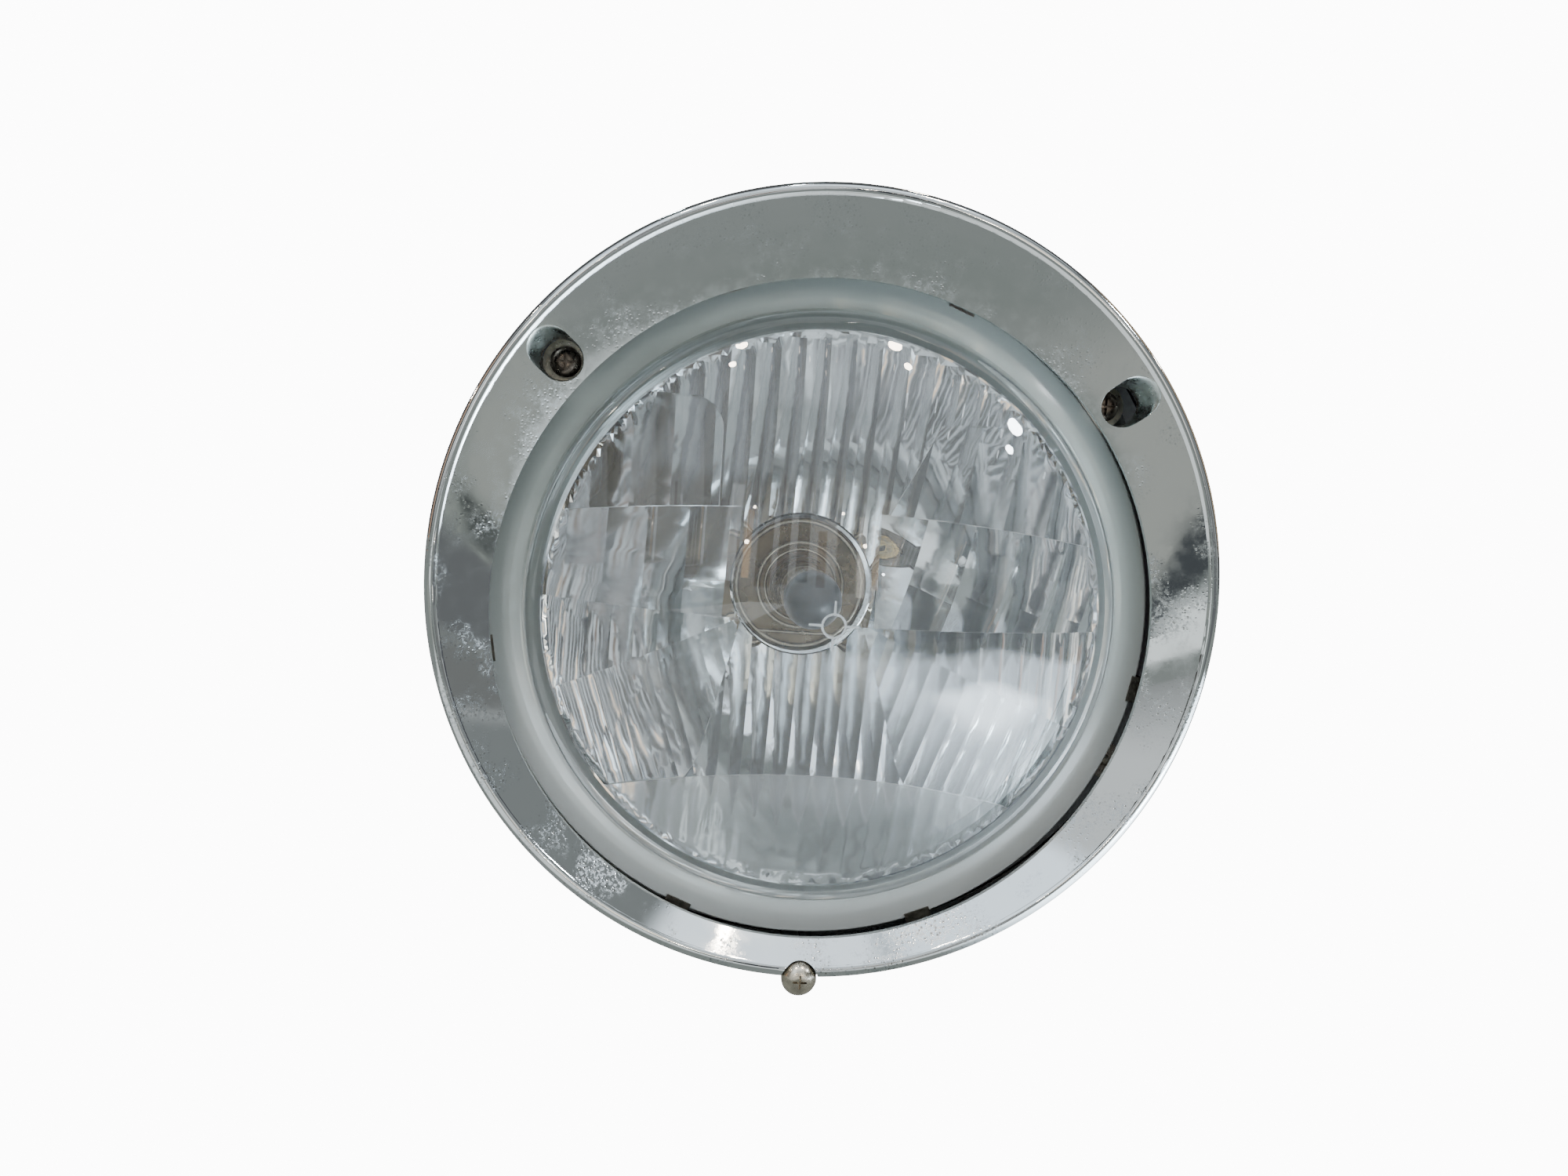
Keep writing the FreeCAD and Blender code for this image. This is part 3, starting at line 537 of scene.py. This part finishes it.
def flute_height(index, u, v):
    """How far the inner face stands behind its plain dome."""
    block = BLOCKS[NAMES[index]]
    phase = (across(block, u, v) / block.pitch + block.shift) % 1.0
    ridge = block.depth * (1 - (2 * phase - 1) ** 2)
    from_rim = FLUTED_RADIUS - np.hypot(u, v)
    from_window = np.hypot(u - WINDOW[0], v - WINDOW[1]) - WINDOW_RADIUS
    fade = np.clip(from_rim / RIM_FADE, 0, 1) * np.clip(from_window / WINDOW_EDGE, 0, 1)
    return fade * (ridge + BLOCK_STEP + block.wedge * v) + MARK_HEIGHT * centre_mark(u, v)


def mark_edges():
    """Loops just inside and outside the edges of the centre mark."""
    half, step = MARK_WIDTH / 2, 0.06
    foot = MARK_RING + half
    loops = []
    for radius in (MARK_RING - half, foot):
        loops += [loop_points(radius - step, 40), loop_points(radius + step, 40)]
    for grow in (-step, step):
        wide, top = half + grow, MARK_REACH + grow
        stroke = [(-wide, foot), (-wide, top), (wide, top), (wide, foot)]
        for _ in range(4):
            loops.append(np.array(stroke))
            stroke = [(b, -a) for a, b in stroke]
    return [[tuple(p) for p in loop] for loop in loops]


def flute_points():
    """Points along every flute line and between the lines, and the edges that follow the lines."""
    rows = np.arange(-74.0, 74.1, 2.0)
    sweep = 110
    points, edges = [], []
    for index, block in enumerate(BLOCKS.values()):
        parts = 10 if block.pitch > 8 else 7
        first = math.floor(-sweep / block.pitch)
        for step in range(-2 * first * parts):
            w = (first + step / parts - block.shift) * block.pitch
            u = w + (rows - block.start) * block.lean(np.array([w]))[0] + bow_of(block, rows)
            inside = (block_at(u, rows) == index) & (np.hypot(u, rows) < FLUTED_RADIUS - 0.4)
            last = None
            for a, b, kept in zip(u, rows, inside):
                if not kept:
                    last = None
                    continue
                if last is not None and step % parts == 0:
                    edges.append((last, len(points)))
                last = len(points)
                points.append((a, b))
    return points, edges


def traced(function, low, high, swap=False):
    """A block's edge as a chain of points, where function gives v for u, or u for v if swap."""
    along = np.arange(low, high + TRACE_STEP, TRACE_STEP)
    other = function(along)
    pairs = np.stack([other, along] if swap else [along, other], 1)
    return [tuple(p) for p in pairs if math.hypot(*p) < FLUTED_RADIUS - 0.2]


def level(v, start, end):
    return [(u, v) for u in np.arange(start, end, math.copysign(TRACE_STEP, end - start))]


def upright(u, start, end):
    return [(u, v) for v in np.arange(start, end, TRACE_STEP)]


def block_edges():
    """Chains of points along the edges of the blocks, the window and the centre mark."""
    reach = FLUTED_RADIUS + 0.5
    corner = (CORNER_EDGE - CORNER_CURVE, CORNER_TOP - CORNER_CURVE)
    bend = arc(corner, CORNER_CURVE, 0, 90, 9)
    return [
        traced(lower_arc, -62, 62),
        traced(step_line, -reach, STEP_LEFT),
        traced(step_line, STEP_RIGHT, reach),
        traced(left_slant, -reach, SLANT_LEFT),
        traced(right_slant, SLANT_RIGHT, reach),
        traced(left_side, -43, -1, True),
        traced(right_side, -43, -1, True),
        level(0.0, SLANT_LEFT, SLANT_RIGHT),
        upright(STEP_LEFT, left_slant(SLANT_LEFT), step_line(STEP_LEFT)),
        upright(STEP_RIGHT, 0.0, step_line(STEP_RIGHT)),
        upright(CORNER_EDGE, 27, corner[1]) + bend + level(CORNER_TOP, corner[0], -49),
        traced(right_edge, RIGHT_FOOT, 50.5, True),
        traced(right_top, 24.8, 52),
        [tuple(WINDOW + p) for p in loop_points(WINDOW_RADIUS, 120)],
        [tuple(WINDOW + p) for p in loop_points(WINDOW_RADIUS + WINDOW_EDGE, 120)],
        *mark_edges(),
    ]


def fluted_surface(segments):
    """The inner face laid flat: its points and triangles, and the block and mark under each triangle."""
    points = [tuple(p) for p in loop_points(FLUTED_RADIUS, segments)]
    flutes, lines = flute_points()
    edges = [(a + len(points), b + len(points)) for a, b in lines]
    points += flutes
    for chain in block_edges():
        base = len(points)
        points += chain
        edges += [(base + i, base + i + 1) for i in range(len(chain) - 1)]
    found = delaunay_2d_cdt([Vector(p) for p in points], edges, [list(range(segments))], 1, 1e-3)
    flat = np.array([tuple(p) for p in found[0]])
    triangles = np.array([t for t in found[2] if len(t) == 3])
    u, v = flat[triangles].mean(1).T
    return flat, triangles, block_at(u, v), centre_mark(u, v)


# ---------------------------------------------------------------- lens: the whole glass

CLEAR, RIM, MATT, DUSTY = range(4)


def dome(radius, depth=0.0):
    """y of the dome's front at a radius, or of the sphere that lies so deep inside the glass."""
    return DOME_FRONT + DOME_CURVE - math.sqrt((DOME_CURVE - depth) ** 2 - radius**2)


def inner_face(segments):
    """Points, faces and tags of the fluted face, and the pairs of points along its rim."""
    flat, triangles, block, marked = fluted_surface(segments)
    points, faces, made, sides = [], [], {}, {}

    def corner(vertex, index):
        """A flat point at its height in a block. Where blocks of unlike heights meet there are two."""
        u, v = flat[vertex]
        height = float(flute_height(index, u, v))
        key = (vertex, round(height, 5))
        if key not in made:
            made[key] = len(points)
            points.append((u, dome(math.hypot(u, v), GLASS_THICK) + height, AXIS_Z + v))
        return made[key]

    for triangle, index in zip(triangles, block):
        ids = [corner(v, index) for v in triangle]
        faces.append(ids[::-1])
        for k in range(3):
            a, b = int(triangle[k]), int(triangle[(k + 1) % 3])
            sides.setdefault((min(a, b), max(a, b)), []).append((ids[k], ids[(k + 1) % 3]))
    foot = NAMES.index("foot")
    tags = [MATT if mark else DUSTY if index == foot else CLEAR for mark, index in zip(marked, block)]

    rim_pairs = []
    for touching in sides.values():
        if len(touching) == 1:
            rim_pairs.append(touching[0])
            continue
        wall = unrepeated([*touching[0], *touching[1]])
        if len(wall) > 2:
            faces.append(wall)
            tags.append(MATT)
    return points, faces, tags, rim_pairs


def glass_outline():
    """(radius, y) from just outside the flutes round the back, rim, shoulder and dome to the axis."""
    corner, overhang, steps = 0.7, 0.3, 10
    outline = [(FLUTED_RADIUS + 0.6, dome(FLUTED_RADIUS, GLASS_THICK) + 0.3)]
    outline += [(FLUTED_RADIUS + 4, GLASS_BACK), (GLASS_RADIUS, GLASS_BACK)]
    outline += arc((GLASS_RADIUS - corner, GLASS_FRONT + corner), corner, 0, -90, 5)
    outline += [(SHOULDER_RADIUS + 0.8, GLASS_FRONT)]
    foot = (SHOULDER_RADIUS + overhang, GLASS_FRONT)
    top = (DOME_RADIUS, dome(DOME_RADIUS))
    for turn in np.linspace(0.05, 1.0, steps) * math.pi / 2:
        inwards, forwards = 1 - math.cos(turn), math.sin(turn)
        outline.append((foot[0] - (foot[0] - top[0]) * inwards, foot[1] + (top[1] - foot[1]) * forwards))
    return outline + [(r, dome(r)) for r in np.linspace(DOME_RADIUS - 1, 0, 48)]


def lens():
    """The fluted face, the rest of the glass spun round it, and the faces that join the two."""
    segments = 240
    points, faces, tags, rim_pairs = inner_face(segments)
    base, spun = len(points), lathe(glass_outline(), segments, close=False)
    add_shape(points, faces, spun)
    for face in spun[1]:
        front = min(spun[0][i][1] for i in face)
        tags.append(RIM if front > GLASS_FRONT - 0.9 else CLEAR)
    for a, b in rim_pairs:
        turns = [math.atan2(points[i][0], points[i][2] - AXIS_Z) / TURN for i in (b, a)]
        faces.append(unrepeated([a, b, *(base + round(turn * segments) % segments for turn in turns)]))
        tags.append(CLEAR)
    finishes = [FINISHES["lens_glass"], RIM_GLASS, MATT_GLASS, DUSTY_GLASS]
    make_piece("pressed_lens", points, faces, "light_unit", "lens_glass", 14, ["lens"], finishes, tags)


# ---------------------------------------------------------------- bulb

def rounded_tip(radius, tip, depth, radii):
    """Half an ellipse: (r, y) of a tube's closed end."""
    return [(r, tip + depth * (1 - math.sqrt(1 - (r / radius) ** 2))) for r in radii]


def bulb_envelope():
    """Straight quartz tube whose rounded front end is coated dark."""
    segments, margin = 64, 0.1
    inside = TUBE_RADIUS - TUBE_WALL
    shoulder = TUBE_TIP + TIP_DEPTH
    coated = rounded_tip(TUBE_RADIUS, TUBE_TIP, TIP_DEPTH, np.linspace(0, TUBE_RADIUS - margin, 14))
    coated += [(TUBE_RADIUS, shoulder), (TUBE_RADIUS, shoulder + COAT_LENGTH)]
    clear = [(TUBE_RADIUS, TUBE_END), (inside, TUBE_END), (inside, shoulder)]
    clear += rounded_tip(inside, TUBE_TIP + TUBE_WALL, TIP_DEPTH_INSIDE, np.linspace(inside - margin, 0, 12))
    points, faces = lathe(coated + clear, segments, close=False)
    dark = (len(coated) - 1) * segments
    tags = [1] * dark + [0] * (len(faces) - dark)
    finishes = [FINISHES["bulb_glass"], TIP_COAT]
    make_piece("bulb_envelope", points, faces, "light_unit", "bulb_glass", 35, ["bulb_glass"], finishes, tags)


def flat_lip():
    """Points and faces of a round bar along the flat of the bulb's cap."""
    sides = 12
    points = []
    for x in (-LIP_REACH, LIP_REACH):
        for across_bar, up in loop_points(LIP_ROLL, sides):
            points.append((x, LIP_Y + across_bar, AXIS_Z + LIP_HEIGHT + up))
    ends = [list(range(sides)), list(range(sides, 2 * sides))]
    return points, tube_faces(2, sides) + ends


def cap_rings():
    """Rolled edges of the bulb's stepped cap: three rings and the lip of its flat, in a lighter copy of the
    cap's metal that is a painted highlight.
    """
    points, faces = [], []
    for radius, y, roll in CAP_RINGS:
        add_shape(points, faces, lathe(arc((radius, y), roll, 0, 360, 16)[:-1], 96))
    add_shape(points, faces, flat_lip())
    make_piece("cap_rings", points, faces, "light_unit", "bulb_metal", 50, finishes=[CAP_EDGE_PAINTED_HIGHLIGHT])


# ---------------------------------------------------------------- trim ring

def bead_skin():
    """The polished outside of the trim ring's rolled bead, open at the foot where the screw sits."""
    rows, gap = 721, 3.3
    skin, taper, skirt = 0.1, 0.25, BEAD_FRONT + 8
    middle = (BEAD_RADIUS - BEAD_CURVE, BEAD_FRONT + BEAD_CURVE)
    outline = arc(middle, BEAD_CURVE, BEAD_TURN, 360, 26)
    outline += [(BEAD_RADIUS - taper, skirt), (BEAD_RADIUS - taper - skin, skirt)]
    outline += arc(middle, BEAD_CURVE - skin, 360, BEAD_TURN, 26)
    size = len(outline)
    points = []
    for turn in np.radians(np.linspace(180 + gap, 540 - gap, rows)):
        points += [(radius * math.sin(turn), y, radius * math.cos(turn)) for radius, y in outline]
    faces = tube_faces(rows, size)
    faces += [list(range(size)), list(range((rows - 1) * size, rows * size))]
    make_piece("bead_skin", points, faces, "mounting", "chrome_trim", 60)


def band_depth(x, z):
    """y of the trim ring's band. It lies between two circles that share no centre."""
    share = 0.0
    for _ in range(12):
        share = (BAND_RADIUS - math.hypot(x, z - AXIS_Z * share)) / (BAND_RADIUS - OPENING_RADIUS)
        share = min(max(share, -0.1), 1.1)
    return BAND_FRONT + (OPENING_FRONT - BAND_FRONT) * share


def oval_point(side, out):
    """Where a ray from an access hole's middle meets its edge: a straight side or a rounded end."""
    wide = HOLE_WIDE - 0.02
    reach = wide / max(abs(side), 1e-9)
    if reach * abs(out) > HOLE_LONG:
        reach = HOLE_LONG * abs(out) + math.sqrt(wide**2 - (HOLE_LONG * side) ** 2)
    return reach * side, HOLE_RADIUS + reach * out


def hole_cup(name, bearing):
    """The drawn edge of an access hole: an oval at the band that narrows to a circle behind it."""
    count, steps, sweep, sunk = 64, 10, 1.8, 0.05
    turn = math.radians(bearing)
    loops = []
    for share in np.arange(steps + 1) / steps:
        drop = share**sweep
        loop = []
        for side, out in loop_points(1.0, count):
            circle = CUP_RADIUS * side, CUP_CENTRE + CUP_RADIUS * out
            a, b = (o + (c - o) * share for o, c in zip(oval_point(side, out), circle))
            x = b * math.sin(turn) + a * math.cos(turn)
            z = AXIS_Z + b * math.cos(turn) - a * math.sin(turn)
            loop.append((x, (1 - drop) * (band_depth(x, z) + sunk) + drop * CUP_FLOOR, z))
        loops.append(loop)
    middle = Vector((CUP_CENTRE * math.sin(turn), 0, AXIS_Z + CUP_CENTRE * math.cos(turn)))
    for loop in loops[::-1]:
        outer = []
        for x, y, z in loop:
            away = (Vector((x, 0, z)) - middle).normalized()
            outer.append(tuple(Vector((x, y + CUP_WALL, z)) + away * CUP_WALL))
        loops.append(outer)
    points = [point for loop in loops for point in loop]
    faces = tube_faces(len(loops), count, close=True)
    # the cup's darker chrome is painted shade in the recess
    make_piece(name, points, faces, "mounting", "chrome_trim", 89, finishes=[SHADED_DULL_CHROME])


# ---------------------------------------------------------------- carried-over nodes

def dress_nodes():
    """Gives each CAD node the finish of its slot in the record, or its own."""
    for name, node in nodes.items():
        if node.hide_render:
            continue
        for index, entry in enumerate(node.data.materials):
            slot = entry.name.split(".")[0]
            if slot in FINISHES:
                node.data.materials[index] = OWN_FINISH.get(name, FINISHES[slot])


# ---------------------------------------------------------------- surroundings

BACKDROP = (12.0, 12.0, 12.0)
LOW_TONE = (0.36, 0.375, 0.38)
# (from, to, colour above that), by rise from the horizon; degrees
HEIGHTS = [
    (-5, 10, (1.04, 1.09, 1.12)),
    (20, 60, (1.05, 1.18, 1.30)),
    (68, 80, (0.20, 0.215, 0.23)),
]
# (from, to, colour beyond that), by bearing from the front; degrees
BEHIND = (66, 92, (0.11, 0.115, 0.118))
# (bearing from the front, half width, lowest, highest, soft edge, colour); degrees
PANELS = [
    (44, 14, -20, 5, 1.5, (0.25, 0.26, 0.26)),
    (50, 13, 8, 58, 4, (0.30, 0.325, 0.33)),
    (-64, 8, -5, 40, 2, (0.08, 0.075, 0.07)),
    (76, 8, 4, 46, 2, (0.10, 0.105, 0.12)),
    (-88, 9, -5, 30, 3, (0.70, 0.44, 0.30)),
    (104, 12, 5, 40, 4, (0.66, 0.50, 0.32)),
    (-12, 1.8, 1, 30, 0.4, (0.08, 0.07, 0.065)),
    (-7, 1.3, 2, 24, 0.4, (0.07, 0.06, 0.06)),
    (-2, 1.4, 3, 20, 0.4, (0.07, 0.065, 0.065)),
    (3, 0.9, 2, 16, 0.5, (0.30, 0.20, 0.15)),
    (9.5, 2.4, 1, 22, 0.5, (0.06, 0.065, 0.075)),
    (-21, 1.5, 2, 26, 0.6, (3.4, 3.7, 3.9)),
    (-16.5, 0.7, 3, 20, 0.4, (2.8, 2.0, 1.3)),
    (13.5, 0.8, 0, 20, 0.4, (3.2, 3.1, 2.8)),
    (17, 0.7, 2, 18, 0.4, (2.8, 2.1, 1.4)),
    (21, 2.0, 0, 24, 0.8, (1.9, 1.8, 1.6)),
    (-34, 12, 30, 62, 5, (1.9, 2.15, 2.4)),
    (20, 30, 52, 68, 6, (1.9, 2.1, 2.3)),
]
# left, right, near edge, far edge (metres in front of the lamp), soft edge, colour
MATS = [
    (0.24, 0.9, 0.30, 0.64, 0.06, (0.42, 0.46, 0.43)),
    (-0.6, -0.12, 0.36, 0.58, 0.05, (0.44, 0.47, 0.44)),
    (-0.09, 0.01, 0.46, 0.56, 0.03, (0.54, 0.56, 0.53)),
    (0.13, 0.20, 0.44, 0.50, 0.02, (0.50, 0.53, 0.50)),
    (-0.50, -0.20, 0.70, 1.90, 0.02, (1.50, 1.60, 1.62)),
    (-0.24, 0.24, 0.08, 0.40, 0.03, (1.25, 1.33, 1.35)),
    (0.30, 1.5, 0.50, 3.00, 0.02, (0.20, 0.21, 0.22)),
    (-0.21, -0.075, 0.55, 0.67, 0.01, (0.09, 0.10, 0.11)),
    (0.225, 0.27, 0.45, 0.53, 0.01, (0.09, 0.10, 0.10)),
    (0.02, 0.07, 0.255, 0.29, 0.004, (0.40, 0.38, 0.30)),
    (0.13, 0.40, 0.06, 0.30, 0.09, (7.0, 8.2, 9.2)),
    (0.17, 0.23, 0.12, 0.17, 0.05, (26.0, 30.0, 33.0)),
]
WARM, COOL = (1.0, 0.86, 0.70), (0.85, 0.93, 1.0)
SMALL_LAMP_AWAY = 2.4
BULB_POWER, SPARK_POWER = 420, 300
# (bearing from the front, rise, size, colour); degrees and metres
BULBS = [
    (-38.5, 62.8, 0.11, WARM),
    (-37, 57, 0.07, WARM),
    (43, 64, 0.13, WARM),
    (42, 58, 0.08, WARM),
    (69, 37, 0.17, COOL),
    (63, 33, 0.09, COOL),
    (-76, 38, 0.07, WARM),
    (-100, 22, 0.09, WARM),
    (100, 30, 0.09, WARM),
    (-150, 50, 0.12, COOL),
    (150, 60, 0.12, WARM),
    (-20, 80, 0.10, COOL),
]
SPARKS = [
    (-17, 12, 0.050, WARM),
    (-16, 21, 0.035, WARM),
    (8, 21, 0.035, WARM),
    (14, 13, 0.045, WARM),
    (19, 6, 0.035, COOL),
]


def seen_white(graph, colour):
    """Plain white to the camera, and the colour itself in reflections and as light."""
    return graph.blend(graph.add("LightPath").outputs["Is Camera Ray"], colour, BACKDROP)


def studio():
    """A workshop: grey low down, pale above, dark overhead and behind, with dark and bright panels."""
    world = bpy.data.worlds.new("studio")
    bpy.context.scene.world = world
    graph = Graph(world)
    x, y, z = graph.split(graph.place("Generated"))
    rise = graph.maths("MULTIPLY", graph.maths("ARCSINE", z), 180 / math.pi)
    turn = graph.maths("ARCTAN2", x, graph.maths("MULTIPLY", y, -1.0))
    side = graph.maths("MULTIPLY", turn, 180 / math.pi)
    colour = LOW_TONE
    for low, high, tone in HEIGHTS:
        colour = graph.blend(graph.ranged(rise, low, high), colour, tone)
    low, high, tone = BEHIND
    colour = graph.blend(graph.ranged(graph.maths("ABSOLUTE", side), low, high), colour, tone)
    for middle, half, low, high, soft, tone in PANELS:
        away = graph.maths("ABSOLUTE", graph.maths("SUBTRACT", side, middle))
        mask = graph.maths("MULTIPLY", graph.ranged(away, half, half + soft, 1.0, 0.0),
                           graph.between(rise, low, high, soft))
        colour = graph.blend(mask, colour, tone)
    light = graph.add("Background")
    graph.feed(seen_white(graph, colour), light.inputs["Color"])
    light.inputs["Strength"].default_value = 1.0
    graph.feed(light.outputs[0], graph.add("OutputWorld").inputs["Surface"])


def lamp(name, bearing, rise, away, size, power, colour, mirrored=True):
    """A round lamp that faces the origin, placed by bearing from the front and rise. Metres."""
    turn, up = math.radians(bearing), math.radians(rise)
    place = away * Vector((math.sin(turn) * math.cos(up), -math.cos(turn) * math.cos(up), math.sin(up)))
    data = bpy.data.lights.new(name, "AREA")
    data.shape = "DISK"
    data.size = size
    data.energy = power
    data.color = colour
    light = bpy.data.objects.new(name, data)
    light.location = place
    light.rotation_euler = (-place).to_track_quat("-Z", "Y").to_euler()
    light.visible_glossy = mirrored
    light.visible_transmission = mirrored
    bpy.context.scene.collection.objects.link(light)


def lamps():
    """Three broad lamps that reflections don't show, and small ones that sparkle in chrome and glass."""
    lamp("key", -30, 45, 2.3, 0.9, 22, (1.0, 0.98, 0.95), False)
    lamp("fill", 60, 20, 1.9, 1.1, 8, (0.92, 0.96, 1.0), False)
    lamp("back", 165, 40, 2.0, 1.2, 22, (1.0, 1.0, 1.0), False)
    for kind, power, places in (("bulb", BULB_POWER, BULBS), ("spark", SPARK_POWER, SPARKS)):
        for index, (bearing, rise, size, colour) in enumerate(places):
            lamp(f"{kind}_{index}", bearing, rise, SMALL_LAMP_AWAY, size, power * size**2, colour)


def floor():
    """A bench with mats and bright patches in reflections, and a white sheet to the camera."""
    low, half = cad_box[0].z, 3.0
    corners = [(-half, -half, low), (half, -half, low), (half, half, low), (-half, half, low)]
    mesh = bpy.data.meshes.new("floor")
    mesh.from_pydata(corners, [], [[0, 1, 2, 3]])
    made = bpy.data.materials.new("bench")
    graph = Graph(made)
    x, y, _ = graph.split(graph.place())
    patch = graph.ranged(graph.noise(70, 4, 0.6), 0.3, 0.7)
    tone = graph.blend(patch, (0.37, 0.40, 0.395), (0.31, 0.345, 0.33))
    for left, right, near, far, soft, colour in MATS:
        mask = graph.maths("MULTIPLY", graph.between(x, left, right, soft),
                           graph.between(y, -far, -near, soft))
        tone = graph.blend(mask, tone, colour)
    glow = graph.add("Emission")
    graph.feed(seen_white(graph, tone), glow.inputs["Color"])
    graph.feed(glow.outputs[0], graph.add("OutputMaterial").inputs["Surface"])
    mesh.materials.append(made)
    ground = bpy.data.objects.new("floor", mesh)
    bpy.context.scene.collection.objects.link(ground)


def camera():
    """Close in front, a little to the left and above, and turned a few degrees."""
    azimuth, elevation, roll = (math.radians(a) for a in (-5.5, 6.6, 4.6))
    distance, target = 0.3665, Vector((-0.011, -0.020, -0.001))
    back = Vector((math.sin(azimuth) * math.cos(elevation), -math.cos(azimuth) * math.cos(elevation),
                   math.sin(elevation)))
    data = bpy.data.cameras.new("camera")
    data.lens = 32.0
    data.sensor_width = 36.0
    data.clip_start = 0.01
    eye = bpy.data.objects.new("camera", data)
    eye.location = target + back * distance
    eye.rotation_euler = (-back).to_track_quat("-Z", "Y").to_euler()
    eye.rotation_euler.rotate_axis("Z", roll)
    bpy.context.scene.collection.objects.link(eye)
    bpy.context.scene.camera = eye


camera()
lens()
bulb_envelope()
cap_rings()
bead_skin()
for side_name, hole_bearing in HOLE_BEARINGS.items():
    hole_cup(f"hole_cup_{side_name}", hole_bearing)
dress_nodes()
studio()
lamps()
floor()
